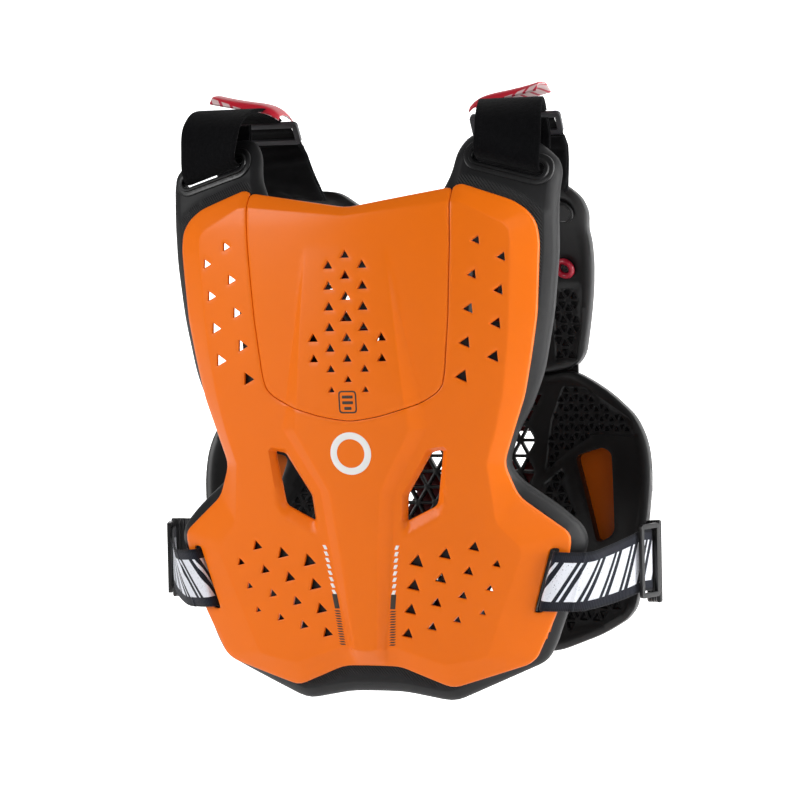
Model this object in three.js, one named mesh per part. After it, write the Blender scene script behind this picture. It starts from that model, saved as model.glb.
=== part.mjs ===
// A roost deflector: a pierced hard chest shell on a foam liner, a two-piece back protector, padded
// shoulder yokes, hook-and-loop shoulder straps and elastic side straps, shown closed as it is worn.
// Millimetres. X runs to the wearer's left, Y to the wearer's back, Z up. The origin lies between the
// shoulders, level with the underside of the shoulder straps where they rest on the wearer.

import * as THREE from 'three';

// Chest panel
const PANEL_WIDTH = 330;
const PANEL_HEIGHT = 403;
const PANEL_TOP = -61;
const CHEST_FRONT = -76;
const CHEST_LEAN = 38;
const BREAST_LINE = -90;
const SHOULDER_LEAN = 26;
const FRONT_RADIUS = 460;
const SHELL_WALL = 3;
const BORDER_DROP = 7;
const SPINE_RAISE = 6;
const VENT_DEPTH = 5;
const SEAM_GAP = 0.35;
const SEAT_GAP = 1.4;

// Foam liner of the chest
const LINER_WALL = 10;
const LINER_RIM = 5;
const STRAP_SLOT_TILT = 16;
const STRAP_SLOT_LENGTH = 58;
const STRAP_SLOT_HEIGHT = 11;
const BEZEL_WIDTH = 7;
const BEZEL_RISE = 2.6;

// Back protector
const BACK_WIDTH = 398;
const BACK_TOP = -58;
const BACK_HEIGHT = 398;
const BACK_DEPTH = 157;
const BACK_DEEPEST = -270;
const BACK_ARCH = 77;
const BACK_TUCK = 37;
const BACK_RADIUS = 460;
const BACK_LINER_WALL = 14;
const BACK_SHELL_WALL = 3;
const BACK_JOINT_GAP = 0.6;
const LATTICE_PITCH = 44;
const LATTICE_STRUT = 9;
const CAP_DIAMETER = 23;
const CAP_RISE = 2;
const GROMMET_DIAMETER = 18;
const GROMMET_BORE = 9;
const GROMMET_RISE = 4;
const CAP_PLACE = { across: 0.683, down: 0.055 };
const GROMMET_PLACE = { across: 0.653, down: 0.173 };

// Webbing and its hardware
const WEBBING = 50;
const SHOULDER_WEBBING = 53;
const SHOULDER_STRAP_WALL = 3;
const SIDE_STRAP_WALL = 2;
const SIDE_SLOT_LENGTH = 54;
const SIDE_SLOT_WIDTH = 7;
const BUCKLE_HEIGHT = 60;
const BUCKLE_LENGTH = 28;
const BUCKLE_BAR = 4;
const BUCKLE_WALL = 3;
const ANCHOR_HEIGHT = 68;
const ANCHOR_WALL = 4;
const SLIDER_WIDTH = 76;
const SLIDER_HEIGHT = 21;
const SLIDER_BAR = 4.5;
const YOKE_WIDTH = 86;
const YOKE_WALL = 8;
const END_TAB_WIDTH = 58;
const END_TAB_LENGTH = 44;
const END_TAB_WALL = 1.6;
const FIT_GAP = 0.4;

const material = (color, roughness) => new THREE.MeshStandardMaterial({ color, roughness, metalness: 0 });
const FINISH = {
  shell: material(0xe8701a, 0.35),
  foam: material(0x1c1d1f, 0.8),
  plastic: material(0x17181a, 0.5),
  fabric: material(0x0e0f11, 0.95),
  elastic: material(0x1d212b, 0.9),
  red: material(0xc41226, 0.5),
};

// Shares of the chest panel, from the centre line outwards and from the top corners down. A row is a
// corner of the shell's edge, the corner of the crease inside it, where the border starts to fall away.
const SHELL_ROWS = [
  { across: 0, down: 0.04, creaseAcross: 0, creaseDown: 0.057 },
  { across: 0.515, down: 0.005, creaseAcross: 0.515, creaseDown: 0.035 },
  { across: 0.552, down: 0, creaseAcross: 0.564, creaseDown: 0.036 },
  { across: 0.794, down: 0.035, creaseAcross: 0.703, creaseDown: 0.067 },
  { across: 0.861, down: 0.055, creaseAcross: 0.758, creaseDown: 0.078 },
  { across: 0.9, down: 0.079, creaseAcross: 0.788, creaseDown: 0.092 },
  { across: 0.912, down: 0.114, creaseAcross: 0.791, creaseDown: 0.122 },
  { across: 0.89, down: 0.256, creaseAcross: 0.773, creaseDown: 0.258 },
  { across: 0.858, down: 0.333, creaseAcross: 0.755, creaseDown: 0.335 },
  { across: 0.818, down: 0.414, creaseAcross: 0.727, creaseDown: 0.414 },
  { across: 0.759, down: 0.484, creaseAcross: 0.684, creaseDown: 0.486 },
  { across: 0.706, down: 0.548, creaseAcross: 0.638, creaseDown: 0.546 },
  { across: 0.765, down: 0.614, creaseAcross: 0.666, creaseDown: 0.665 },
  { across: 0.996, down: 0.69, creaseAcross: 0.764, creaseDown: 0.71 },
  { across: 0.985, down: 0.725, creaseAcross: 0.778, creaseDown: 0.728 },
  { across: 0.913, down: 0.845, creaseAcross: 0.673, creaseDown: 0.839 },
  { across: 0.806, down: 0.938, creaseAcross: 0.588, creaseDown: 0.931 },
  { across: 0.764, down: 0.952, creaseAcross: 0.552, creaseDown: 0.937 },
  { across: 0.398, down: 0.999, creaseAcross: 0.38, creaseDown: 0.949 },
  { across: 0.144, down: 0.955, creaseAcross: 0.135, creaseDown: 0.914 },
  { across: 0, down: 0.954, creaseAcross: 0, creaseDown: 0.92 },
];

// The foam liner's outline, in the same shares. It stands up into a tab at each shoulder.
const LINER_ROWS = [
  { across: 0, down: 0.05 }, { across: 0.436, down: 0.02 }, { across: 0.448, down: 0.0096 },
  { across: 0.481, down: -0.02 }, { across: 0.499, down: -0.067 }, { across: 0.539, down: -0.094 },
  { across: 0.606, down: -0.107 }, { across: 0.776, down: -0.102 }, { across: 0.897, down: -0.074 },
  { across: 0.976, down: -0.045 }, { across: 0.997, down: -0.02 }, { across: 0.988, down: 0.012 },
  { across: 0.982, down: 0.047 }, { across: 0.975, down: 0.141 }, { across: 0.944, down: 0.256 },
  { across: 0.891, down: 0.367 }, { across: 0.824, down: 0.44 }, { across: 0.759, down: 0.484 },
  { across: 0.706, down: 0.548 }, { across: 0.752, down: 0.581 }, { across: 0.925, down: 0.635 },
  { across: 1.027, down: 0.675 }, { across: 1.051, down: 0.705 },
  { across: 1.03, down: 0.735 }, { across: 0.939, down: 0.848 }, { across: 0.877, down: 0.916 },
  { across: 0.83, down: 0.95 }, { across: 0.382, down: 1.031 }, { across: 0.138, down: 1.011 },
  { across: 0, down: 1.01 },
];

// The seam round the chest plate, down one side, in the same shares.
const SEAM_ROWS = [
  { across: 0.515, down: 0.005 }, { across: 0.515, down: 0.035 }, { across: 0.513, down: 0.11 },
  { across: 0.492, down: 0.257 }, { across: 0.464, down: 0.367 }, { across: 0.45, down: 0.393 },
  { across: 0.419, down: 0.408 }, { across: 0.342, down: 0.427 }, { across: 0.244, down: 0.44 },
  { across: 0.143, down: 0.452 }, { across: 0, down: 0.461 },
];

// The raised spine: its upper edge, its foot, and how much of the whole rise it has at each row.
const SPINE_ROWS = [
  { across: 0.199, foot: 0.203, down: 0.117, rise: 0 }, { across: 0.235, foot: 0.262, down: 0.25, rise: 0.5 },
  { across: 0.267, foot: 0.336, down: 0.404, rise: 1 }, { across: 0.29, foot: 0.365, down: 0.479, rise: 1 },
  { across: 0.13, foot: 0.19, down: 0.598, rise: 1 }, { across: 0.09, foot: 0.15, down: 0.742, rise: 1 },
  { across: 0.058, foot: 0.09, down: 0.918, rise: 1 },
];

// One vent: its opening, and the wider line where its sides start to fall in.
const VENT_OPENING = [
  { across: 0.429, down: 0.519 }, { across: 0.372, down: 0.524 }, { across: 0.245, down: 0.608 },
  { across: 0.233, down: 0.66 }, { across: 0.376, down: 0.631 }, { across: 0.39, down: 0.623 },
];
const VENT_RIM = [
  { across: 0.458, down: 0.511 }, { across: 0.36, down: 0.516 }, { across: 0.226, down: 0.606 },
  { across: 0.205, down: 0.694 }, { across: 0.4, down: 0.652 }, { across: 0.424, down: 0.628 },
];

// Fields of triangular holes. A field is a lattice: its first hole, the step along a row and the step
// to the next row, in shares of the panel. size is the distance from a hole's centre to its corners.
const HOLE_FIELDS = [
  { across: 0.657, down: 0.747, rowAcross: -0.1345, rowDown: 0.0142, nextAcross: -0.0394,
    nextDown: 0.0486, rows: [[1, 3, -1], [0, 3, 0], [0, 3, 1], [0, 3, 2]], size: 3.7, grow: 0.75,
    fade: 0.45, narrow: 0.04, turn: 13 },
  { across: 0.635, down: 0.111, rowAcross: 0, rowDown: 0, nextAcross: -0.0225,
    nextDown: 0.066, rows: [[0, 0, 0], [0, 0, 1], [0, 0, 2], [0, 0, 3], [0, 0, 4]], size: 4, grow: 0,
    fade: -0.45, narrow: 0, turn: 26 },
  { across: 0.75, down: 0.144, rowAcross: 0, rowDown: 0, nextAcross: -0.018,
    nextDown: 0.0645, rows: [[0, 0, 0], [0, 0, 1], [0, 0, 2], [0, 0, 3]], size: 4.3, grow: 0,
    fade: -0.4, narrow: 0, turn: 26 },
];
const PLATE_HOLES = { pitchAcross: 0.086, pitchDown: 0.0407, top: 0.134, size: 4.6 };
const PLATE_COLUMNS = [
  { column: 0, first: 0, count: 7 },
  { column: 1, first: 0.5, count: 7 },
  { column: 2, first: 4, count: 2 },
];

// Openings cut in the liner behind the holes: a box of the panel, in its shares, and how it leans.
const LINER_WINDOWS = [
  { across: 0.69, down: 0.24, width: 0.215, height: 0.3, lean: -0.11 },
  { across: 0.6, down: 0.835, width: 0.08, height: 0.17, lean: -0.15 },
  { across: 0.465, down: 0.845, width: 0.08, height: 0.2, lean: -0.15 },
  { across: 0.33, down: 0.855, width: 0.08, height: 0.2, lean: -0.15 },
];
const LINER_CENTRE_WINDOW = { width: 0.29, top: 0.1, bottom: 0.42 };

// Back outlines in shares of half the back's width and of its height.
const UPPER_BACK_ROWS = [
  { across: 0, down: 0.07 }, { across: 0.2, down: 0.045 }, { across: 0.29, down: 0.005 },
  { across: 0.34, down: 0 }, { across: 0.7, down: 0 }, { across: 0.736, down: 0.01 },
  { across: 0.778, down: 0.03 }, { across: 0.794, down: 0.06 }, { across: 0.776, down: 0.093 },
  { across: 0.78, down: 0.12 }, { across: 0.774, down: 0.161 }, { across: 0.754, down: 0.226 },
  { across: 0.726, down: 0.294 }, { across: 0.7, down: 0.354 }, { across: 0.672, down: 0.375 },
  { across: 0.63, down: 0.388 }, { across: 0.5, down: 0.4 }, { across: 0, down: 0.408 },
];
const LOWER_BACK_ROWS = [
  { across: 0, down: 0.408 }, { across: 0.5, down: 0.4 }, { across: 0.63, down: 0.388 },
  { across: 0.73, down: 0.414 }, { across: 0.82, down: 0.442 }, { across: 0.925, down: 0.487 },
  { across: 0.966, down: 0.522 }, { across: 0.99, down: 0.56 }, { across: 1, down: 0.612 },
  { across: 0.995, down: 0.663 }, { across: 0.955, down: 0.867 }, { across: 0.945, down: 0.887 },
  { across: 0.91, down: 0.91 }, { across: 0.805, down: 0.942 }, { across: 0.603, down: 0.982 },
  { across: 0, down: 1 },
];
const UPPER_LATTICE = { across: 0.5, down: 0.13, low: 0.37, waist: 0.5 };
const LOWER_LATTICE = { across: 0.47, down: 0.44, low: 0.93, waist: 0.4 };
const WING_WINDOW = [
  { across: 0.65, down: 0.573 }, { across: 0.78, down: 0.554 }, { across: 0.82, down: 0.566 },
  { across: 0.84, down: 0.735 }, { across: 0.76, down: 0.757 },
];

// Vents in the hidden outer shells of the back: triangles point up, in shares, with a size in mm.
const UPPER_SHELL_VENTS = [
  { across: 0, down: 0.24, size: 20 }, { across: 0.19, down: 0.25, size: 20 },
  { across: 0.32, down: 0.33, size: 15 }, { across: 0.4, down: 0.22, size: 18 },
];
const LOWER_SHELL_VENTS = [
  { across: 0, down: 0.56, size: 24 }, { across: 0.2, down: 0.51, size: 16 },
  { across: 0.42, down: 0.52, size: 24 }, { across: 0.2, down: 0.68, size: 22 },
  { across: 0.42, down: 0.68, size: 18 }, { across: 0, down: 0.8, size: 20 },
  { across: 0.25, down: 0.84, size: 16 }, { across: 0.5, down: 0.86, size: 14 },
];

// Where the webbing runs. share is how far a row lies along its run from chest to back, and out, behind
// and up move it, as shares of the webbing's width. lean and tilt say how a strap's width turns from
// upright, as a fall along X and along Y for each millimetre down.
const SIDE_SLOT_PLACE = { across: 0.876, down: 0.782 };
const WING_PLACE = { across: 0.995, down: 0.79 };
const SIDE_STRAP_ROWS = [
  { share: 0, out: -0.059, behind: 0.235, up: 0.013, lean: 0.297, tilt: 0.1 },
  { share: 0, out: -0.019, behind: 0.095, up: 0.003, lean: 0.297, tilt: 0.1 },
  { share: 0, out: 0.041, behind: -0.057, up: -0.007, lean: 0.297, tilt: 0.1 },
  { share: 0, out: 0.149, behind: -0.035, up: -0.017, lean: 0.297, tilt: 0.1 },
  { share: 0.1, out: 0.302, behind: -0.071, up: -0.045, lean: 0.297, tilt: 0.1 },
  { share: 0.2, out: 0.375, behind: -0.121, up: -0.052, lean: 0.24, tilt: 0.08 },
  { share: 0.3, out: 0.468, behind: -0.039, up: -0.009, lean: 0.14, tilt: 0.05 },
  { share: 0.5, out: 0.495, behind: -0.074, up: 0.066, lean: 0.04, tilt: 0.02 },
  { share: 0.6, out: 0.558, behind: 0.048, up: 0.138, lean: 0, tilt: 0 },
  { share: 0.7, out: 0.547, behind: 0.11, up: 0.131, lean: 0, tilt: 0 },
];
const BUCKLE_PLACE = { share: 0.65, out: 0.612, behind: 0.043, up: 0.134 };
const ANCHOR_ROWS = [
  { share: 0.75, out: 0.579, behind: 0.11, up: 0.087 },
  { share: 0.85, out: 0.42, behind: 0.124, up: 0.06 },
  { share: 0.95, out: 0.203, behind: 0.086, up: 0.032 },
  { share: 1, out: -0.002, behind: 0.149, up: 0.008 },
];
const TAB_SLOT_PLACE = { across: 0.757, down: -0.041 };
const BACK_TOP_PLACE = { across: 0.543, down: 0.019 };
const SHOULDER_STRAP_ROWS = [
  { share: 0, out: 0.002, behind: 0.544, up: 0.73, roll: 4 },
  { share: 0, out: 0.012, behind: 0.644, up: 0.49, roll: 10 },
  { share: 0, out: 0.006, behind: 0.504, up: 0.12, roll: 16 },
  { share: 0, out: 0.006, behind: 0.244, up: -0.02, roll: 16 },
  { share: 0, out: 0.006, behind: 0.064, up: -0.01, roll: 16 },
  { share: 0, out: 0.006, behind: -0.046, up: 0.09, roll: 16 },
  { share: 0, out: 0.012, behind: 0.014, up: 0.41, roll: 10 },
  { share: 0, out: 0.002, behind: 0.124, up: 0.73, roll: 4 },
  { share: 0.1, out: -0.014, behind: 0.19, up: 1.002, roll: 0 },
  { share: 0.3, out: -0.017, behind: 0.052, up: 1.146, roll: 0 },
  { share: 0.4, out: -0.053, behind: 0.178, up: 1.148, roll: 0 },
  { share: 0.5, out: -0.06, behind: 0.184, up: 1.07, roll: 0 },
];
const SLIDER_PLACE = { share: 0.6, out: -0.046, behind: 0.092, up: 0.923 };
const SLIDER_FALL = 52;
const END_TAB_PLACE = { share: 0.4, out: -0.203, behind: 0.138, up: 1.352 };
const END_TAB_TILT = 9;
const YOKE_ROWS = [
  { share: 0.65, out: -0.029, behind: 0.103, up: 0.754, width: 0.9, wall: 0.6, turn: 0 },
  { share: 0.72, out: -0.005, behind: 0.02, up: 0.613, width: 0.96, wall: 1, turn: 0.05 },
  { share: 0.82, out: 0.018, behind: -0.094, up: 0.415, width: 0.98, wall: 1, turn: 0.14 },
  { share: 0.9, out: 0.015, behind: -0.151, up: 0.219, width: 1, wall: 1, turn: 0.22 },
  { share: 1, out: -0.001, behind: -0.177, up: -0.001, width: 1, wall: 0.8, turn: 0.26 },
];

const radians = (degrees) => degrees * Math.PI / 180;
const onPanel = ({ across, down }) => [across * PANEL_WIDTH / 2, PANEL_TOP - down * PANEL_HEIGHT];
const onBack = ({ across, down }) => [across * BACK_WIDTH / 2, BACK_TOP - down * BACK_HEIGHT];
const mirrorPoint = ([x, z]) => [-x, z];

// Both halves of an outline whose rows run down one side, as one loop.
function bothHalves(rows, place) {
  const side = rows.map(place);
  const other = side.filter(([x]) => x > 0).map(mirrorPoint).reverse();
  return [...side, ...other];
}

const SHELL_EDGE = bothHalves(SHELL_ROWS, onPanel);
const SHELL_CREASE = bothHalves(
  SHELL_ROWS.map((row) => ({ across: row.creaseAcross, down: row.creaseDown })), onPanel);
const VENT_LINES = { opening: VENT_OPENING.map(onPanel), rim: VENT_RIM.map(onPanel) };

// Plane geometry of the flat patterns
function isInside([x, z], loop) {
  let inside = false;
  loop.forEach(([ax, az], index) => {
    const [bx, bz] = loop[(index + 1) % loop.length];
    if ((az > z) !== (bz > z) && x < ax + (bx - ax) * (z - az) / (bz - az)) inside = !inside;
  });
  return inside;
}

function distanceToSegment([x, z], [ax, az], [bx, bz]) {
  const [dx, dz] = [bx - ax, bz - az];
  const along = THREE.MathUtils.clamp(((x - ax) * dx + (z - az) * dz) / (dx * dx + dz * dz), 0, 1);
  return Math.hypot(x - ax - along * dx, z - az - along * dz);
}

const loopEdges = (loop) => loop.map((point, index) => [point, loop[(index + 1) % loop.length]]);
const lineEdges = (line) => line.slice(1).map((point, index) => [line[index], point]);

function distanceToLoop(point, loop) {
  return Math.min(...loopEdges(loop).map(([a, b]) => distanceToSegment(point, a, b)));
}

// 0 on the crease and inside it, 1 on the edge and beyond, in proportion between them.
function shareBetween(point, edge, crease) {
  if (isInside(point, crease)) return 0;
  const fromCrease = distanceToLoop(point, crease);
  const fromEdge = isInside(point, edge) ? distanceToLoop(point, edge) : 0;
  return fromCrease / Math.max(fromCrease + fromEdge, 1e-9);
}

// Forms of the chest and the back: how far back a surface lies at a place of the front view
function chestLine(z) {
  if (z > BREAST_LINE) return CHEST_FRONT + SHOULDER_LEAN * ((z - BREAST_LINE) / 72) ** 2;
  const reach = PANEL_HEIGHT + PANEL_TOP;
  return CHEST_FRONT + CHEST_LEAN * ((BREAST_LINE - z) / reach) ** 1.5;
}

const borderShare = (x, z) => shareBetween([x, z], SHELL_EDGE, SHELL_CREASE);
const chestBase = (x, z) => chestLine(z) + x * x / (2 * FRONT_RADIUS) + BORDER_DROP * borderShare(x, z);

function spineRise(x, z) {
  const down = (PANEL_TOP - z) / PANEL_HEIGHT;
  const next = SPINE_ROWS.findIndex((row) => row.down > down);
  if (next === 0) return 0;
  const low = next < 0 ? SPINE_ROWS.at(-1) : SPINE_ROWS[next];
  const high = next < 0 ? low : SPINE_ROWS[next - 1];
  const part = next < 0 ? 0 : (down - high.down) / (low.down - high.down);
  const at = (key) => THREE.MathUtils.lerp(high[key], low[key], part);
  const inside = (at('foot') - Math.abs(x) * 2 / PANEL_WIDTH) / (at('foot') - at('across'));
  return SPINE_RAISE * at('rise') * THREE.MathUtils.clamp(inside, 0, 1);
}

function ventFall(x, z) {
  const point = [Math.abs(x), z];
  if (!isInside(point, VENT_LINES.rim)) return 0;
  return VENT_DEPTH * (1 - shareBetween(point, VENT_LINES.rim, VENT_LINES.opening));
}

const shellFront = (x, z) => {
  const endShare = borderShare(x, z);
  return chestBase(x, z) - spineRise(x, z) * (1 - endShare) + ventFall(x, z);
};
const shellBack = (x, z) => shellFront(x, z) + SHELL_WALL;
const linerFront = (x, z) => chestBase(x, z) + SHELL_WALL + SEAT_GAP;
const linerBack = (x, z) => {
  const rim = z < PANEL_TOP ? LINER_RIM * borderShare(x, z) * Math.min(1, (PANEL_TOP - z) / 50) : 0;
  return linerFront(x, z) + LINER_WALL + rim;
};

function backLine(z) {
  const up = BACK_TOP - BACK_DEEPEST;
  if (z > BACK_DEEPEST) return BACK_DEPTH - BACK_ARCH * ((z - BACK_DEEPEST) / up) ** 3;
  const low = BACK_HEIGHT - up;
  return BACK_DEPTH - BACK_TUCK * ((BACK_DEEPEST - z) / low) ** 1.6;
}

const backInner = (x, z) => backLine(z) - x * x / (2 * BACK_RADIUS);
const backOuter = (x, z) => backInner(x, z) + BACK_LINER_WALL;
const backShellInner = (x, z) => backOuter(x, z) + SEAT_GAP;
const backShellOuter = (x, z) => backShellInner(x, z) + BACK_SHELL_WALL;

// The runs of the webbing, from a slot of the chest to the back behind it
const onForm = ([x, z], form) => new THREE.Vector3(x, form(x, z), z);
const SIDE_RUN = {
  from: onForm(onPanel(SIDE_SLOT_PLACE), chestBase), to: onForm(onBack(WING_PLACE), backInner),
};
const SHOULDER_RUN = {
  from: onForm(onPanel(TAB_SLOT_PLACE), chestBase), to: onForm(onBack(BACK_TOP_PLACE), backInner),
};

function placeOn({ from, to }, { share, out, behind, up }) {
  return new THREE.Vector3(out, behind, up).multiplyScalar(WEBBING).add(from.clone().lerp(to, share));
}

function pathOn(run, rows) {
  return rows.map((row) => {
    const { x, y, z } = placeOn(run, row);
    return { ...row, x, y, z };
  });
}

// Delaunay triangles of flat points, added one by one inside a triangle far larger than the pattern.
function delaunay(points) {
  const reach = 1e5;
  const all = [...points, [-reach, -reach], [reach, -reach], [0, reach]];
  const circled = (a, b, c) => {
    const [[ax, az], [bx, bz], [cx, cz]] = [all[a], all[b], all[c]];
    const [ux, uz, vx, vz] = [bx - ax, bz - az, cx - ax, cz - az];
    const twice = 2 * (ux * vz - uz * vx);
    const [u, v] = [ux * ux + uz * uz, vx * vx + vz * vz];
    const [x, z] = [(vz * u - uz * v) / twice, (ux * v - vx * u) / twice];
    return { corners: [a, b, c], x: ax + x, z: az + z, square: x * x + z * z };
  };
  const count = points.length;
  let triangles = [circled(count, count + 1, count + 2)];
  points.forEach(([x, z], index) => {
    const open = new Map();
    triangles = triangles.filter((triangle) => {
      if ((x - triangle.x) ** 2 + (z - triangle.z) ** 2 > triangle.square) return true;
      const [a, b, c] = triangle.corners;
      for (const [from, to] of [[a, b], [b, c], [c, a]]) {
        if (!open.delete(`${to},${from}`)) open.set(`${from},${to}`, [from, to]);
      }
      return false;
    });
    for (const [from, to] of open.values()) triangles.push(circled(from, to, index));
  });
  return triangles.map(({ corners }) => corners).filter((corners) => Math.max(...corners) < count);
}

// Points of a flat pattern and the triangles between them. Every edge of the outline, the holes and
// the creases is kept, by halving those that the triangles would cross.
function triangulate({ outline, holes, creases, spacing }) {
  const points = [];
  const places = new Map();
  const indexOf = (point) => {
    const key = point.map((value) => value.toFixed(3)).join();
    if (!places.has(key)) places.set(key, points.push(point) - 1);
    return places.get(key);
  };
  const lines = [...loopEdges(outline), ...holes.flatMap(loopEdges), ...creases.flatMap(lineEdges)];
  let edges = [];
  for (const [a, b] of lines) {
    const parts = Math.max(1, Math.round(Math.hypot(b[0] - a[0], b[1] - a[1]) / (spacing * 1.2)));
    for (let part = 0; part < parts; part += 1) {
      const at = (share) => [a[0] + (b[0] - a[0]) * share, a[1] + (b[1] - a[1]) * share];
      edges.push([indexOf(at(part / parts)), indexOf(at((part + 1) / parts))]);
    }
  }
  const inPattern = (point) => isInside(point, outline) && !holes.some((hole) => isInside(point, hole));
  const box = new THREE.Box2().setFromPoints(outline.map(([x, z]) => new THREE.Vector2(x, z)));
  const rowStep = spacing * Math.sqrt(3) / 2;
  for (let row = 0; box.min.y + row * rowStep < box.max.y; row += 1) {
    const z = box.min.y + (row + 0.37) * rowStep;
    for (let x = box.min.x + spacing * (row % 2 ? 0.53 : 0.03); x < box.max.x; x += spacing) {
      const near = lines.some(([a, b]) => distanceToSegment([x, z], a, b) < spacing * 0.45);
      if (!near && inPattern([x, z])) indexOf([x, z]);
    }
  }
  for (let round = 0; round < 12; round += 1) {
    const triangles = delaunay(points);
    const present = new Set(triangles.flatMap(([a, b, c]) => [[a, b], [b, c], [c, a]])
      .flatMap(([from, to]) => [`${from},${to}`, `${to},${from}`]));
    const kept = edges.filter(([from, to]) => present.has(`${from},${to}`));
    const crossed = edges.filter(([from, to]) => !present.has(`${from},${to}`));
    if (!crossed.length || round === 11) return { points, triangles, inPattern };
    edges = kept;
    for (const [from, to] of crossed) {
      const middle = indexOf([0, 1].map((axis) => (points[from][axis] + points[to][axis]) / 2));
      edges.push([from, middle], [middle, to]);
    }
  }
}

function meshGeometry(positions, index) {
  const geometry = new THREE.BufferGeometry();
  geometry.setAttribute('position', new THREE.Float32BufferAttribute(positions, 3));
  geometry.setIndex(index);
  return geometry;
}

// A closed sheet over a flat pattern: its near side, its far side and the walls along every edge.
function sheet({ outline, holes = [], creases = [], spacing = 30, front, back }) {
  const { points, triangles, inPattern } = triangulate({ outline, holes, creases, spacing });
  const cross = ([a, b, c]) => (points[b][0] - points[a][0]) * (points[c][1] - points[a][1])
    - (points[b][1] - points[a][1]) * (points[c][0] - points[a][0]);
  const middle = (corners) => [0, 1].map((axis) => (
    corners.reduce((sum, at) => sum + points[at][axis], 0) / 3));
  const faces = triangles.filter((corners) => Math.abs(cross(corners)) > 1e-3 && inPattern(middle(corners)))
    .map(([a, b, c]) => (cross([a, b, c]) > 0 ? [a, b, c] : [a, c, b]));
  const far = points.length;
  const positions = [...points.flatMap(([x, z]) => [x, front(x, z), z]),
    ...points.flatMap(([x, z]) => [x, back(x, z), z])];
  const index = faces.flatMap(([a, b, c]) => [a, b, c, far + a, far + c, far + b]);
  const sides = new Map();
  for (const [a, b, c] of faces) {
    for (const [from, to] of [[a, b], [b, c], [c, a]]) {
      if (!sides.delete(`${to},${from}`)) sides.set(`${from},${to}`, [from, to]);
    }
  }
  for (const [from, to] of sides.values()) {
    index.push(from, far + from, to, to, far + from, far + to);
  }
  return meshGeometry(positions, index);
}

// A closed solid through rings of as many points each, with a fan over each end.
function loft(rings) {
  const size = rings[0].length;
  const positions = rings.flat().flatMap((point) => point.toArray());
  const index = [];
  for (let ring = 0; ring + 1 < rings.length; ring += 1) {
    for (let side = 0; side < size; side += 1) {
      const [a, b] = [ring * size + side, ring * size + (side + 1) % size];
      index.push(a, a + size, b, b, a + size, b + size);
    }
  }
  const last = (rings.length - 1) * size;
  for (let side = 1; side + 1 < size; side += 1) {
    index.push(0, side, side + 1, last, last + side + 1, last + side);
  }
  return meshGeometry(positions, index);
}

// A band of webbing along a path. across gives the direction of its width at each row.
function band(path, { width, wall, steps = path.length - 1, across }) {
  const curve = new THREE.CatmullRomCurve3(path.map(({ x, y, z }) => new THREE.Vector3(x, y, z)), false,
    'centripetal');
  const rings = [];
  for (let step = 0; step <= steps; step += 1) {
    const share = step / steps;
    const row = share * (path.length - 1);
    const at = Math.min(Math.floor(row), path.length - 2);
    const [before, after] = [path[at], path[at + 1]];
    const blend = (key, rest) => THREE.MathUtils.lerp(before[key] ?? rest, after[key] ?? rest, row - at);
    const centre = curve.getPoint(share);
    const side = across(blend).normalize();
    const normal = side.clone().cross(curve.getTangent(share)).normalize();
    const [halfWidth, halfWall] = [width * blend('width', 1) / 2, wall * blend('wall', 1) / 2];
    const corner = (along, out) => centre.clone().addScaledVector(side, along).addScaledVector(normal, out);
    rings.push([corner(-halfWidth, -halfWall), corner(halfWidth, -halfWall), corner(halfWidth, halfWall),
      corner(-halfWidth, halfWall)]);
  }
  return loft(rings);
}

// A rectangular frame with a bar at each end and each side, lying in its own plane.
function frameGeometry({ width, height, bar, wall }) {
  const rounded = (shape, halfWidth, halfHeight, radius) => {
    shape.moveTo(-halfWidth + radius, -halfHeight);
    shape.lineTo(halfWidth - radius, -halfHeight);
    shape.absarc(halfWidth - radius, -halfHeight + radius, radius, -Math.PI / 2, 0);
    shape.absarc(halfWidth - radius, halfHeight - radius, radius, 0, Math.PI / 2);
    shape.absarc(-halfWidth + radius, halfHeight - radius, radius, Math.PI / 2, Math.PI);
    shape.absarc(-halfWidth + radius, -halfHeight + radius, radius, Math.PI, Math.PI * 1.5);
    return shape;
  };
  const outer = rounded(new THREE.Shape(), width / 2, height / 2, bar * 0.8);
  outer.holes.push(rounded(new THREE.Path(), width / 2 - bar, height / 2 - bar, bar * 0.3));
  const geometry = new THREE.ExtrudeGeometry(outer, { depth: wall, bevelEnabled: false, curveSegments: 2 });
  return geometry.translate(0, 0, -wall / 2);
}

function placed(geometry, centre, right, up) {
  const basis = new THREE.Matrix4().makeBasis(right, up, right.clone().cross(up));
  return geometry.applyMatrix4(basis.setPosition(centre));
}

function mirrored(geometry) {
  const copy = geometry.index ? geometry.toNonIndexed() : geometry.clone();
  const position = copy.getAttribute('position');
  const flipped = [];
  for (let corner = 0; corner < position.count; corner += 3) {
    for (const at of [corner, corner + 2, corner + 1]) {
      flipped.push(-position.getX(at), position.getY(at), position.getZ(at));
    }
  }
  const result = new THREE.BufferGeometry();
  return result.setAttribute('position', new THREE.Float32BufferAttribute(flipped, 3));
}

// Loops cut out of the patterns
function triangleHole([x, z], size, turn) {
  return [90, 210, 330].map((angle) => {
    const around = radians(angle + turn);
    return [x + size * Math.cos(around), z + size * Math.sin(around)];
  });
}

function stadium([x, z], halfLength, radius, tilt, arcSteps = 5) {
  const [cos, sin] = [Math.cos(radians(tilt)), Math.sin(radians(tilt))];
  const loop = [];
  for (const end of [1, -1]) {
    for (let step = 0; step <= arcSteps; step += 1) {
      const angle = radians(-90 * end + 180 * step / arcSteps);
      const [u, v] = [end * (halfLength - radius) + radius * Math.cos(angle), radius * Math.sin(angle)];
      loop.push([x + u * cos - v * sin, z + u * sin + v * cos]);
    }
  }
  return loop;
}

const bothSides = (loops) => [...loops, ...loops.map((loop) => loop.map(mirrorPoint).reverse())];

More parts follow.
